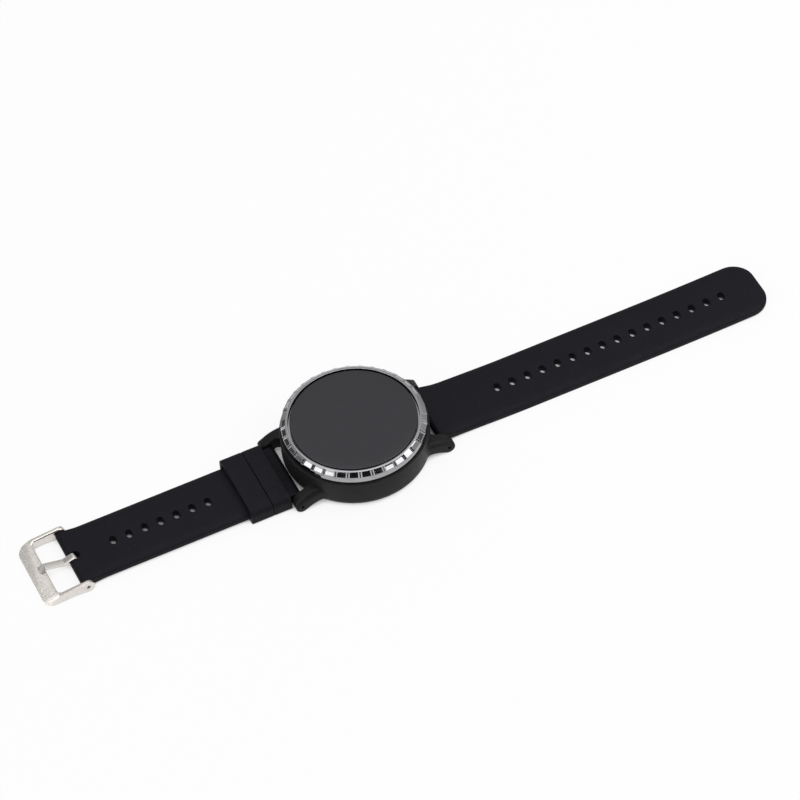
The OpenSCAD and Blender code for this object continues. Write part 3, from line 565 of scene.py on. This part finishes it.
def make_case():
    outer = soften([(0, RIM_Z), (CASE_R, RIM_Z), (CASE_R, CASE_H), (COLLAR_R, CASE_H),
                    (COLLAR_R, COLLAR_Z), (0, COLLAR_Z)], [0, CASE_ROUND, 0.3, 0, 0.12, 0])
    body = revolve("case_shell", outer)
    for sx in (1, -1):
        for sy in (1, -1):
            lug = make_lug(sx, sy)
            boolean(lug, rods("core", [(0, 0, [(-4, LUG_CORE_R), (20, LUG_CORE_R)])], 144))
            boolean(body, lug, "UNION")
    inner = [(0, -1), (RIM_IN, -1), (RIM_IN, LEDGE_Z0), (BACK_OPEN_R, LEDGE_Z0),
             (BACK_OPEN_R, LEDGE_Z), (CAVITY_R, LEDGE_Z), (CAVITY_R, DECK_Z), (OPEN_R, DECK_Z),
             (OPEN_R, 20), (0, 20)]
    boolean(body, revolve("room", inner))
    back = [polar(BACK_SCREW_RING, 45 + 90 * i) for i in range(4)]
    board = [polar(BOARD_SCREW_RING, 30 + 120 * i) for i in range(3)]
    click = [(0, CLICK_RING)]
    # places, their two heights and the radius
    bosses = [(back, (LEDGE_Z - 0.3, 4.9), 1.5), (board, (9.2, DECK_Z + 0.3), 1.2),
              (click, (7.7, DECK_Z + 0.3), 1.3)]
    bores = [(back, (1, 6), 0.55), (board, (8.6, 10.4), 0.5), (click, (8.5, 13), 0.55)]
    for name, groups, operation in (("bosses", bosses, "UNION"), ("bores", bores, "DIFFERENCE")):
        items = [(x, y, [(z, r) for z in heights]) for places, heights, r in groups
                 for x, y in places]
        boolean(body, rods(name, items), operation)
    hole = [(LUG_Y0 - 0.5, TIP_HOLE_R), (LUG_Y1 - 0.16, TIP_HOLE_R), (LUG_Y1 + 0.1, TIP_HOLE_R + 0.28)]
    holes = [(s * BAR_X, BAR_Z, hole) for s in (1, -1)]
    holes += [(s * BAR_X, BAR_Z, [(-y, r) for y, r in hole[::-1]]) for s in (1, -1)]
    boolean(body, rods_y("tip_holes", holes))
    finish_piece(body, "case", "case_metal", ["case_body"], 30)


# Tempo wheel and face

# The slope of the wheel's outline, in (radius, height), and its length and way up
SLOPE_FOOT, SLOPE_TOP = Vector((23.46, 14.19)), Vector((21.93, 15.31))
SLOPE_L = (SLOPE_TOP - SLOPE_FOOT).length
SLOPE_WAY = (SLOPE_TOP - SLOPE_FOOT) / SLOPE_L
# Pairs of ribs with a groove between; places and widths are measured round the middle radius
WHEEL_Z, WHEEL_R, WHEEL_MID_R, PAIRS = 11.95, 23.55, 22.75, 36
RIB_AT, RIB_HALF, GROOVE_HALF = 0.31, 0.25, 0.1
POCKET_AT, POCKET_WALL, POCKET_DEEP = 0.56, 0.055, 0.12


def wheel_rows():
    """Closed outline of the wheel in rows of (radius, height, place along the slope or None,
    share of the ribs that shows there)"""
    rows = [(r, WHEEL_Z + up, None, share) for r, up, share in [
        (19.99, 0.01, 0), (20.03, 0, 0), (21.2, 0, 0), (21.2, 0.8, 0), (22.15, 0.8, 0),
        (22.15, 0, 0), (23.38, 0, 0), (23.46, 0.02, 0), (23.52, 0.07, 0), (WHEEL_R, 0.15, 0),
        (WHEEL_R, 0.3, 0), (WHEEL_R, 0.95, 0), (23.548, 1.4, 0), (23.54, 1.62, 0),
        (23.538, 1.7, 0.12), (23.535, 1.78, 0.35), (23.53, 1.87, 0.7), (23.52, 1.96, 0.95),
        (23.505, 2.08, 1), (23.485, 2.17, 1)]]
    places = [0, 0.015, 0.03, 0.045, 0.06, 0.075, 0.09, 0.105, 0.13, 0.4, 0.8, 1.1]
    places += [SLOPE_L - s for s in (0.6, 0.5, 0.42, 0.34, 0.27, 0.21, 0.16, 0.12, 0.1, 0.08, 0.06,
                                     0.04, 0.02, 0)]
    rows += [(*(SLOPE_FOOT + SLOPE_WAY * s), s, 1) for s in places]
    rows += [(r, z, None, 0) for r, z in [
        (21.89, 15.333), (21.84, 15.346), (21.78, 15.354), (21.6, 15.373), (21.42, 15.388),
        (21.33, 15.392), (21.26, 15.375), (21.22, 15.33), (21.2, 15.25), (21.2, 13.95),
        (21.15, 13.85), (20.0, 13.85), (19.95, 13.8), (19.95, WHEEL_Z + 0.05)]]
    return rows


def wheel_point(row, pair, a):
    """Place of one row's point at a distance a round the wheel from the middle of a rib pair"""
    r, z, s, share = row
    u, half_step = abs(a), radians(180 / PAIRS)
    rib = 0.5 + 0.5 * cos(pi * min(1.0, abs(u - RIB_AT) / RIB_HALF))
    groove = 1 - smooth(u / GROOVE_HALF)
    if s is None:
        r += share * (0.12 * rib - 0.05 * groove)
    else:
        # pockets have flat floors, which lie a little deeper towards the slope's top
        pocket = smooth((u - POCKET_AT) / POCKET_WALL) * smooth((s - 0.01) / 0.08)
        pocket *= smooth((SLOPE_L - s - 0.03) / 0.07)
        up = smooth((SLOPE_L - s - 0.01) / 0.11) * (0.17 * rib - 0.1 * groove)
        up -= pocket * (POCKET_DEEP + 0.19 * max(0.0, s - SLOPE_L + 0.6) ** 2)
        flat = cos(half_step) / cos(half_step - u / WHEEL_MID_R) / cos(radians(2.75))
        r = (r + SLOPE_WAY.y * up) * mix(1.0, flat, pocket)
        z -= SLOPE_WAY.x * up
    turn = 2 * half_step * pair + a / WHEEL_MID_R
    return r * cos(turn), r * sin(turn), z


def make_wheel():
    rows = wheel_rows()
    steps = [0, 0.03, 0.06, 0.1, 0.14, 0.18, 0.22, 0.26, 0.29, 0.32, 0.36, 0.4, 0.44, 0.48, 0.52,
             0.56, 0.575, 0.595, 0.615, 0.64, 1.0, 1.5]
    cols = sorted(set(steps) | {-a for a in steps} | {WHEEL_MID_R * radians(180 / PAIRS)})
    verts = [wheel_point(row, pair, a) for row in rows for pair in range(PAIRS) for a in cols]
    ob = mesh_object("ribbed_wheel", verts, loft_faces(len(rows), PAIRS * len(cols), closed=True))
    dimple = [(WHEEL_Z - 0.3, 0.55), (WHEEL_Z + 0.35, 0.55), (WHEEL_Z + 0.45, 0.4)]
    boolean(ob, rods("dimples", [(*polar(CLICK_RING, 90 + 10 * i), dimple) for i in range(PAIRS)], 20))
    finish_piece(ob, "wheel", "wheel_metal", ["tempo_wheel"], 30)


def make_face():
    out = soften([(0, FACE_Z0), (FACE_R, FACE_Z0), (FACE_R, FACE_Z1), (0, FACE_Z1)],
                 [0, 0.1, 0.28, 0], 0.06)
    inner = [(r, FACE_Z1) for r in (18, 12, 6, 1)]
    ob = revolve("face_panel", out[:-1] + inner + [out[-1]])
    finish_piece(ob, "case", "face_panel", ["face_disc"], 40)


# Straps

# Distances from a strap's edge, from its flat middle outwards
EDGE = [2.6, 2.1, 1.65, 1.25, 0.9, 0.62, 0.42, 0.3, 0.2, 0.12, 0.05, 0.015, 0.0]


def edge_round(d, r):
    """Drop of an edge rounded with radius r, at a distance d from it"""
    return r - sqrt(max(0.0, r * r - max(0.0, r - d) ** 2))


def low_rise(d):
    """How far a strap's underside stands above its middle line, at a distance from its edge"""
    return edge_round(d, 0.35)


def top_drop(d, y, fade):
    """How far its upper side stands below its middle line; fade takes the bevel in and out"""
    slope = 0.62 * max(0.0, 1 - d / 2.5) ** 1.7 + 0.22 * (min(1.0, abs(y) / STRAP_Y)) ** 2
    return fade * (slope + edge_round(d, 0.32)) + (1 - fade) * low_rise(d)


def strap_sheet(name, stations, tip=None):
    """Closed strap from stations of (x, top, underside, fade, nose), nose being the way out of
    a round end there or None. tip gives the centre x and the radius of the round plan corners at
    its end, and a function of x for the top and underside there."""
    cols, nj, n_main = 14, len(EDGE), len(stations)
    x_c, rad, levels = tip or (0, 0, None)
    corner = [radians(a) for a in np.linspace(0, 90, 16)[1:]] if tip else []
    rows = n_main + len(corner)
    verts, index, faces = [], {}, []

    def place(i, d):
        """Plan place of row i at a distance d inside the outline: x and half width"""
        if i < n_main:
            return stations[i][0], STRAP_Y - d
        phi = corner[i - n_main]
        return x_c + (rad - d) * sin(phi), STRAP_Y - rad + (rad - d) * cos(phi)

    def put(i, d, y, upper):
        """Point of row i on the upper side or the underside"""
        x = place(i, d)[0]
        if i < n_main:
            x, top, low, fade, nose = stations[i]
        else:
            top, low, fade, nose = *levels(x), 1.0, None
        move = -top_drop(d, y, fade) if upper else low_rise(d)
        out_x, out_z = nose or (0, 1)
        return x - out_x * abs(move), y, (top if upper else low) + out_z * move

    def vid(i, key, upper):
        """Vertex of row i. Its key is ("m", k, 0) in the middle, ("e", side, j) in the band along
        an edge and ("t", k, j) in the band along the tip. The first row of a nose is on both sides."""
        if i < n_main and stations[i][4] is not None and stations[i][4][1] == 0:
            upper = True
        tag = (i, key, upper)
        if tag not in index:
            kind, k, j = key
            if kind == "e":
                y = k * place(i, EDGE[j])[1]
            else:
                w = place(i, EDGE[0])[1] if kind == "m" else STRAP_Y - rad
                y = -w + 2 * w * k / cols
            index[tag] = len(verts)
            verts.append(put(i, EDGE[j], y, upper))
        return index[tag]

    def edge_key(side, j):
        return ("m", 0 if side < 0 else cols, 0) if j == 0 else ("e", side, j)

    def tip_key(k, j):
        if j == 0:
            return "m", k, 0
        return ("e", -1, j) if k == 0 else ("e", 1, j) if k == cols else ("t", k, j)

    def quad(i, a, b, upper):
        """Face between two keys of row i and the same two of the next row"""
        faces.append([vid(i, a, upper), vid(i, b, upper), vid(i + 1, b, upper), vid(i + 1, a, upper)])

    def wall(row_a, a, row_b, b):
        """Face that joins the upper side and the underside along the outline"""
        faces.append([vid(row_a, a, True), vid(row_b, b, True), vid(row_b, b, False),
                      vid(row_a, a, False)])

    last = rows - 1
    for upper in (True, False):
        for i in range(last):
            for k in range(cols):
                quad(i, ("m", k, 0), ("m", k + 1, 0), upper)
            for side in (-1, 1):
                for j in range(nj - 1):
                    quad(i, edge_key(side, j), edge_key(side, j + 1), upper)
        for j in range(nj - 1 if tip else 0):
            for k in range(cols):
                corners = (k, j), (k + 1, j), (k + 1, j + 1), (k, j + 1)
                faces.append([vid(last, tip_key(*c), upper) for c in corners])
    for i in range(last):
        for side in (-1, 1):
            key = ("e", side, nj - 1)
            wall(i, key, i + 1, key)
    for k in range(cols if tip else 0):
        wall(last, tip_key(k, nj - 1), last, tip_key(k + 1, nj - 1))
    faces = [list(dict.fromkeys(f)) for f in faces]
    return mesh_object(name, verts, [f for f in faces if len(f) > 2])


def long_levels(s):
    """Top and underside of the long strap at a distance from its bar: it comes down to the table
    over 32 mm, and lifts and thins a little towards its tip"""
    low = (BAR_Z - END_R) * (1 - smooth(s / 32)) + 0.9 * (max(0.0, s - LONG_L + 47) / 47) ** 2
    thick = mix(2 * END_R, STRAP_T, smooth(s / 10)) - 0.45 * smooth((s - LONG_L + 9) / 9)
    return low + thick, low


def short_levels(s):
    """The same for the short strap, which is level between its bar and the buckle's pin"""
    if s < SHORT_L / 2:
        low = mix(BAR_Z - END_R, SHORT_Z, smooth(s / 2.2))
        return low + mix(2 * END_R, STRAP_T, smooth(s / 7)), low
    u = smooth((s - SHORT_L + 8) / 8)
    low = mix(SHORT_Z, PIN_Z - PIN_END_R, u)
    return low + mix(STRAP_T, 2 * PIN_END_R, u), low


def nose_rows(cx, cz, r, out):
    """Round end about a bar, from its outermost line inwards; out is the way it points"""
    rows = []
    for a in np.linspace(0, 84, 15):
        way = (out * cos(radians(a)), sin(radians(a)))
        h = r * sin(radians(a))
        rows.append((cx + out * r * cos(radians(a)), cz + h, cz - h, 0.0, way))
    return rows


def oval_cutters(places):
    """Cutters for oval holes with softly flared mouths; each place is (x, top, underside)"""
    half, w = 0.65, 1.0
    ring = [(w * cos(radians(a)), half + w * sin(radians(a))) for a in np.linspace(0, 180, 11)]
    ring += [(w * cos(radians(a)), -half + w * sin(radians(a))) for a in np.linspace(180, 360, 11)]
    verts, faces = [], []
    for x, high, low in places:
        levels = [(low - 0.6, 0.6), (low - 0.001, 0.20), (low + 0.05, 0.12), (low + 0.12, 0.05),
                  (low + 0.22, 0.0), (high - 0.24, 0.0), (high - 0.13, 0.05), (high - 0.055, 0.12),
                  (high - 0.003, 0.20), (high + 0.6, 0.6)]
        faces += capped_faces(len(levels), len(ring), len(verts))
        for z, grow in levels:
            g = (w + grow) / w
            for px, py in ring:
                cy = half if py > 0 else -half
                verts.append((x + px * g, cy + (py - cy) * g, z))
    return mesh_object("oval_cutters", verts, faces)


def make_long_strap():
    rows = nose_rows(BAR_X, BAR_Z, END_R, -1)
    places = list(np.linspace(0, 12, 13)) + list(np.arange(14, LONG_L - TIP_ROUND - 1, 2.0))
    for s in places + [LONG_L - TIP_ROUND]:
        rows.append((BAR_X + s, *long_levels(s), smooth(s / 7), None))
    ob = strap_sheet("long_band", rows, (TIP_X - TIP_ROUND, TIP_ROUND, lambda x: long_levels(x - BAR_X)))
    holes = [TIP_X - LONG_HOLE - HOLE_STEP * i for i in range(16)]
    boolean(ob, oval_cutters([(x, *long_levels(x - BAR_X)) for x in holes]))
    boolean(ob, rods_y("bar_tunnel", [(BAR_X, BAR_Z, TUNNEL)]))
    finish_piece(ob, "long_strap", "strap_silicone", ["long_strap"], 38)


def make_short_strap():
    rows = nose_rows(-BAR_X, BAR_Z, END_R, 1)
    places = [0, 0.5, 1, 1.5, 2, 2.5, 3, 4, 5, 6, 7, 8] + list(np.arange(10, SHORT_L - 8.5, 2.0))
    for s in places + list(np.linspace(SHORT_L - 8, SHORT_L, 9)):
        fade = smooth(s / 7) * smooth((SHORT_L - s) / 6)
        rows.append((-BAR_X - s, *short_levels(s), fade, None))
    ob = strap_sheet("short_band", rows + nose_rows(PIN_X, PIN_Z, PIN_END_R, -1)[::-1])
    holes = [PIN_X + SHORT_HOLE + HOLE_STEP * i for i in range(7)]
    boolean(ob, oval_cutters([(x, SHORT_Z + STRAP_T, SHORT_Z) for x in holes]))
    # the tongue's notch
    x, r = PIN_X + 0.9, 1.6
    notch = [(PIN_X - 5, -r), (x, -r)] + arc(x, 0, r, -90, 90, 20)[1:-1] + [(x, r), (PIN_X - 5, r)]
    boolean(ob, plate("notch", notch, -3, 9))
    pin_tunnel = [(-11.6, PIN_R), (11.6, PIN_R)]
    boolean(ob, rods_y("bores", [(-BAR_X, BAR_Z, TUNNEL), (PIN_X, PIN_Z, pin_tunnel)]))
    finish_piece(ob, "short_strap", "strap_silicone", ["short_strap"], 38)


# Keepers

def loop_points(hw, z0, z1, rb, rt, crown=0.0):
    """Rectangle with round corners in (y, z), always with the same number of points"""
    pts = [(y, z0) for y in np.linspace(-hw + rb, hw - rb, 12)]
    pts += arc(hw - rb, z0 + rb, rb, -90, 0, 8)[1:]
    pts += [(hw, z) for z in np.linspace(z0 + rb, z1 - rt, 4)[1:]]
    pts += arc(hw - rt, z1 - rt, rt, 0, 90, 12)[1:]
    pts += [(y, z1) for y in np.linspace(hw - rt, -hw + rt, 20)[1:]]
    pts += arc(-hw + rt, z1 - rt, rt, 90, 180, 12)[1:]
    pts += [(-hw, z) for z in np.linspace(z1 - rt, z0 + rb, 4)[1:]]
    pts += arc(-hw + rb, z0 + rb, rb, 180, 270, 8)[1:-1]
    mid = (z0 + z1) / 2
    return [(y, z - crown * (y / hw) ** 2 * max(0.0, (z - mid) / (z1 - mid))) for y, z in pts]


def make_keeper(node, x0, x1):
    """Loop whose end faces are rounded by e towards the outside and by e2 towards the inside"""
    outer = np.array(loop_points(KEEPER_Y + KEEPER_SIDE, 0, KEEPER_TOP, 1.3, 2.2, 0.3))
    inner = np.array(loop_points(KEEPER_Y, KEEPER_T, KEEPER_TOP - KEEPER_T, 0.6, 1.2, 0.1))
    e, e2 = 0.32, 0.15
    near = [(x0 + e * (1 - cos(a)), e * (1 - sin(a))) for a in [pi / 8 * i for i in range(5)]]
    near += [(mix(x0, x1, u), 0.0) for u in (0.2, 0.4, 0.6, 0.8)]
    verts = []
    for o, i in zip(outer, inner):
        wall = np.linalg.norm(i - o)
        ring = near + [(x0 + x1 - x, t) for x, t in near[4::-1]]
        ring += [(x1, wall - e2), (x1 - e2 * 0.3, wall - e2 * 0.3), (x1 - e2, wall)]
        ring += [(x0 + e2, wall), (x0 + e2 * 0.3, wall - e2 * 0.3), (x0, wall - e2)]
        verts += [(x, *(o + (i - o) / wall * t)) for x, t in ring]
    ob = mesh_object(node + "_loop", verts, loft_faces(len(outer), len(ring), closed=True))
    finish_piece(ob, node, "keeper_silicone", [node], 40)


# Buckle

def buckle_window():
    """Cutter for the window: straight walls that open in a round lip below the frame's top"""
    lip = 0.5
    xs = list(np.linspace(FRONT_X0 + 2, PIN_X + 3, 24))
    slope = (BAR_TOP - FRONT_LOW) / (FRONT_X0 - FRONT_X1)
    rise = (PIN_Z + 2.19 - BAR_TOP) / (PIN_X - 0.23 - FRONT_X0)

    def top(x):
        """Height of the frame's upper side: the slope, the arms and the round over the pin"""
        if x > PIN_X:
            return PIN_Z + sqrt(max(0.01, BARREL_R ** 2 - (x - PIN_X) ** 2))
        return BAR_TOP + (x - FRONT_X0) * (slope if x < FRONT_X0 else rise)

    def outline(o):
        """Plan outline of the window, o wider all round, with two round corners"""
        pts = [(x, -ARM_Y0 - o) for x in xs[::-1]]
        for y, r, a0 in ((-1, 1.5, 270), (1, 1.1, 180)):
            pts += arc(FRONT_X0 + r, y * (ARM_Y0 - r), r + o, a0, a0 - 90, 12)
        return pts + [(x, ARM_Y0 + o) for x in xs]

    layers = [[(x, y, -2) for x, y in outline(0)]]
    for a in np.linspace(0, 90, 9):
        o = lip * (1 - cos(radians(a)))
        drop = lip * (1 - sin(radians(a))) - (0.01 if a == 90 else 0)
        layers.append([(x, y, top(x) - drop) for x, y in outline(o)])
    layers.append([(x, y, 9) for x, y in outline(lip)])
    verts = [v for layer in layers for v in layer]
    return mesh_object("window", verts, capped_faces(len(layers), len(layers[0])))


def make_buckle():
    side = [(FRONT_X1 + 0.4, 0), (FRONT_X1, FRONT_LOW), (FRONT_X0, BAR_TOP)]
    side += arc(PIN_X, PIN_Z, BARREL_R, 96, -84, 28)
    side += [(PIN_X - 0.8, 0.12), (PIN_X - 2.5, 0.42), (PIN_X - 4.5, 0.6), (PIN_X - 6.5, 0.58),
             (PIN_X - 8.5, 0.36), (PIN_X - 10.0, 0.12), (PIN_X - 11.0, 0.0)]
    ob = slab("buckle", side, -ARM_Y1, ARM_Y1)
    plan = soften([(FRONT_X1, -ARM_Y1), (PIN_X + 9, -ARM_Y1), (PIN_X + 9, ARM_Y1),
                   (FRONT_X1, ARM_Y1)], [3.4, 0, 0, 3.4], 0.35)
    boolean(ob, plate("plan", plan, -2, 9), "INTERSECT")
    boolean(ob, buckle_window())
    # the front is hollow below, along a line that climbs from its foot
    line, back = 1.9 / 3.6, FRONT_X0 + 1.0
    wedge = [(FRONT_X1 - 1.6, -3 * line), (back, 1.9 + line), (back, -3 * line)]
    boolean(ob, slab("under", wedge, -ARM_Y0, ARM_Y0))
    bm = bmesh.new()
    bm.from_mesh(ob.data)
    rim = [e for e in bm.edges if e.is_manifold and e.calc_face_angle(0) > 0.5
           and all(abs(v.co.y) > ARM_Y1 - 0.01 and v.co.z > 3.0 for v in e.verts)]
    bmesh.ops.bevel(bm, geom=rim, offset=0.3, segments=4, profile=0.5, affect="EDGES",
                    clamp_overlap=True)
    bm.to_mesh(ob.data)
    bm.free()
    bevel(ob, 0.1, 34, 2)
    bore = [(-ARM_Y1 - 1, 0.9), (-ARM_Y1 + 0.12, 0.7), (ARM_Y1 - 0.12, 0.7), (ARM_Y1 + 1, 0.9)]
    boolean(ob, rods_y("pin_bore", [(PIN_X, PIN_Z, bore)]))
    finish_piece(ob, "buckle", "buckle_steel", ["buckle_frame"], 30)


def make_tongue():
    """Sheet bent round the pin, dipping between the arms and lying on the front bar"""
    loop_r, t, half = 1.55, 0.8, 1.3
    crest = BAR_TOP + 0.05 + t
    slope = (BAR_TOP - FRONT_LOW) / 5
    end_x, end_z = FRONT_X0 - 2, crest - 2 * slope
    dip_x, dip_z = PIN_X - 3.3, PIN_Z + loop_r - 1.05
    top = [(dip_x, dip_z), (FRONT_X0 + 0.1, crest), (end_x, end_z)]
    low = [(end_x, end_z - t * 0.8), (FRONT_X0 - 0.1, BAR_TOP + 0.05),
           (FRONT_X0 + 0.6, BAR_TOP + 0.05), (dip_x, dip_z - t)]
    around = arc(PIN_X, PIN_Z, loop_r, 180, 450, 44)
    around += [(PIN_X - 0.35, PIN_Z + loop_r - 0.03)]
    blade = soften([around[-1]] + top + low + [around[0]],
                   [0, 0.35, 0.25, 0.1, 0.1, 0.3, 0.3, 0.5, 0], 0.12)
    ob = slab("tongue", around + blade[1:-1], -half, half)
    bevel(ob, 0.13, 50, 3)
    boolean(ob, rods_y("bore", [(PIN_X, PIN_Z, [(-3, PIN_R), (3, PIN_R)])]))
    satin = brushed_steel("satin_steel", 0.12, 0.2, False)
    finish_piece(ob, "tongue", "buckle_steel", ["buckle_tongue"], 30, satin)


def make_click_spring():
    """Coil under the click plunger, built at one length; nothing here shortens it as the plunger is
    pressed
    """
    low, high = (Vector(corner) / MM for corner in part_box("click_spring"))
    mid, turns, wire, stroke = (low + high) / 2, 7, 0.11, 0.4
    radius, n, sides = (high.x - low.x) / 2 - wire, 20, 8
    verts = []
    for i in range(turns * n + 1):
        a = 2 * pi * i / n
        z = mix(low.z + wire * 1.01, high.z - wire * 1.01, i / (turns * n))
        for k in range(sides):
            b = 2 * pi * k / sides
            r = radius + wire * cos(b)
            verts.append((mid.x + r * cos(a), mid.y + r * sin(a), z + wire * sin(b)))
    ob = mesh_object("click_coil", verts, capped_faces(turns * n + 1, sides))
    finish_piece(ob, "case", "spring_steel", ["click_spring"], 50)
    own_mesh(ob)


# Pieces

make_case()
make_click_spring()
make_wheel()
make_face()
make_long_strap()
make_short_strap()
for keeper, ends in KEEPERS.items():
    make_keeper(keeper, *ends)
make_buckle()
make_tongue()

# The CAD nodes that stay, by the record's own slots
CARRIED = {
    "back_plastic": ["case_back"], "gasket_rubber": ["back_gasket", "motor_boot"],
    "screw_steel": ["back_screws", "board_screws"], "contact_gold": ["charge_contacts"],
    "magnet_dark": ["wheel_magnet"], "glide_white": ["glide_ring"], "tape_black": ["face_tape"],
    "guide_clear": ["light_guide"], "light_lens": ["light_sources"], "board_green": ["main_board"],
    "chip_black": ["board_chips"], "frame_metal": ["inner_frame"], "battery_foil": ["battery"],
    "foam_black": ["battery_foam"], "motor_steel": ["motor_can"], "cap_plastic": ["motor_end_cap"],
    "bushing_bronze": ["motor_bushing"], "winding_copper": ["motor_armature"],
    "weight_metal": ["eccentric_weight"], "spring_steel": ["long_bar_spring", "short_bar_spring"],
    "pin_steel": ["click_plunger", "motor_shaft", "buckle_pin", "long_bar_tube", "long_tip_near",
                  "long_tip_far", "short_bar_tube", "short_tip_near", "short_tip_far"],
}
for slot, nodes in CARRIED.items():
    for ob in [NODES[node] for node in nodes]:
        if not ob.material_slots:
            ob.data.materials.append(MATERIALS[slot])
        for material_slot in ob.material_slots:
            material_slot.material = MATERIALS[slot]


# Stage, light and camera, in metres

CAMERA_SIDE, CARD_R, TABLE_HALF, TABLE_Z = -112, 1.1, 3, -0.00004


def stage_mesh(name, verts, faces, material):
    me = bpy.data.meshes.new(name)
    me.from_pydata(verts, [], faces)
    ob = new_object(name, me)
    me.materials.append(material)
    return ob


def table_material():
    """Plain white table: white to the camera and in gloss, with its soft shadow, and with painted shade
    deep inside the strap holes and the gaps round the case, where ambient occlusion darkens its glow"""
    mat = bpy.data.materials.new("white_table")
    g = Graph(mat)
    path = g.node("ShaderNodeLightPath").outputs
    mirrored = g.maths("MAXIMUM", path["Is Glossy Ray"], path["Is Transmission Ray"])
    seen = g.maths("MAXIMUM", path["Is Camera Ray"], mirrored)
    open_sky = g.node("ShaderNodeAmbientOcclusion", {"Distance": 0.009}, samples=12)
    # Painted shade: the glow falls off where ambient occlusion is deep
    level = g.spread(open_sky.outputs["AO"], 0.03, 1.035, (0.04, 0.36))
    matte = g.node("ShaderNodeBsdfDiffuse", {"Color": (0.8, 0.8, 0.8, 1)})
    glow = g.node("ShaderNodeEmission", {"Strength": level})
    both = g.blend(g.maths("MULTIPLY", seen, 0.86), matte, glow)
    g.node("ShaderNodeOutputMaterial", {"Surface": both.outputs[0]})
    return mat


def studio_card(name, a0, a1, low, high0, high1, value):
    """Card of even light bent round the table, which only glossy surfaces see. It stands between
    two angles from the camera's side, from one elevation up to two others, one for each end."""
    mat = bpy.data.materials.new(name)
    g = Graph(mat)
    glow = g.node("ShaderNodeEmission", {"Strength": value})
    g.node("ShaderNodeOutputMaterial", {"Surface": glow.outputs[0]})
    mat.cycles.emission_sampling = "NONE"
    n, rows = max(2, round((a1 - a0) / 5)), 6
    verts = []
    for j in range(rows + 1):
        for i in range(n + 1):
            a = radians(CAMERA_SIDE + mix(a0, a1, i / n))
            e = radians(mix(low, mix(high0, high1, i / n), j / rows))
            verts.append((CARD_R * cos(a) * cos(e), CARD_R * sin(a) * cos(e), CARD_R * sin(e)))
    corners = [j * (n + 1) + i for j in range(rows) for i in range(n)]
    ob = stage_mesh(name, verts, [(k, k + 1, k + n + 2, k + n + 1) for k in corners], mat)
    ob.visible_camera = ob.visible_diffuse = ob.visible_shadow = False
    ob.visible_transmission = False


def area_light(name, place, size, radiance):
    """Square lamp that looks at the middle of the table"""
    data = bpy.data.lights.new(name, "AREA")
    data.size = size
    data.energy = radiance * pi * size ** 2
    ob = new_object(name, data)
    ob.location = place
    ob.rotation_euler = (-Vector(place)).to_track_quat("-Z", "Y").to_euler()


def studio_world():
    """Soft light from all round; glossy surfaces see a ceiling that grows bright overhead"""
    world = bpy.data.worlds.new("studio")
    bpy.context.scene.world = world
    g = Graph(world)
    soft = g.node("ShaderNodeBackground", {"Color": (0.62, 0.62, 0.63, 1)})
    white = g.node("ShaderNodeBackground", {"Color": (1, 1, 1, 1)})
    where = g.node("ShaderNodeTexCoord").outputs["Generated"]
    height = g.node("ShaderNodeSeparateXYZ", {0: where}).outputs["Z"]
    ceiling = g.ramp(height, [(0.2, 0.17), (0.6, 0.22), (0.74, 0.26), (0.80, 0.29), (0.86, 0.36),
                              (0.92, 0.6), (0.955, 0.97)])
    sheen = g.node("ShaderNodeBackground", {"Color": ceiling, "Strength": 3.0})
    path = g.node("ShaderNodeLightPath").outputs
    seen = g.maths("MAXIMUM", path["Is Camera Ray"], path["Is Transmission Ray"])
    around = g.blend(seen, g.blend(path["Is Glossy Ray"], soft, sheen), white)
    g.node("ShaderNodeOutputWorld", {"Surface": around.outputs[0]})


def make_camera():
    """The photograph's camera, solved from the outlines of case, straps and buckle"""
    elevation, azimuth, roll = radians(49.9248), radians(21.9914), radians(4.6986)
    looked_at, distance = Vector((21.3987, 12.1249, 0)), 1377.8305
    focal_pixels, photo_pixels = 4229.6058, 800
    forward = Vector((sin(azimuth) * cos(elevation), cos(azimuth) * cos(elevation), -sin(elevation)))
    right = Vector((cos(azimuth), -sin(azimuth), 0))
    up = right.cross(forward)
    axes = (right * cos(roll) - up * sin(roll), right * sin(roll) + up * cos(roll), -forward)
    data = bpy.data.cameras.new("camera")
    data.sensor_width = 36
    data.lens = focal_pixels * data.sensor_width / photo_pixels
    data.clip_start, data.clip_end = 0.05, 20
    camera = new_object("camera", data)
    place = Matrix.Translation((looked_at - forward * distance) * MM)
    camera.matrix_world = place @ Matrix(axes).transposed().to_4x4()
    bpy.context.scene.camera = camera


stage_mesh("table", [(x * TABLE_HALF, y * TABLE_HALF, TABLE_Z) for x, y in
                     ((-1, -1), (1, -1), (1, 1), (-1, 1))], [(0, 1, 2, 3)], table_material())

# A dark card before the camera, bright ones at both sides of it, and quiet ones round the rest
CARDS = [
    (-42, 39, 9, 82, 82, 0.015), (-180, 180, 0.5, 9, 9, 0.5), (-87, -42, 24, 47, 53, 2.7),
    (39, 91, 24, 53, 45, 2.7), (-140, -87, 9, 14, 38, 0.09), (91, 102, 12, 44, 42, 0.5),
    (102, 114, 12, 42, 38, 0.15), (114, 150, 9, 40, 36, 0.6), (150, 215, 9, 24, 24, 0.12)]
UPPER_CARDS = [(39, 90, 53, 80, 74, 0.02), (-150, -87, 38, 60, 50, 0.42)]
for kind, cards in (("card", CARDS), ("upper_card", UPPER_CARDS)):
    for number, card in enumerate(cards):
        studio_card("%s_%d" % (kind, number), *card)

area_light("key", (0.75, -0.25, 0.95), 0.7, 2.6)
area_light("fill", (-0.9, -0.35, 0.6), 0.6, 1.5)
studio_world()
make_camera()
bpy.context.scene.view_settings.view_transform = "Standard"
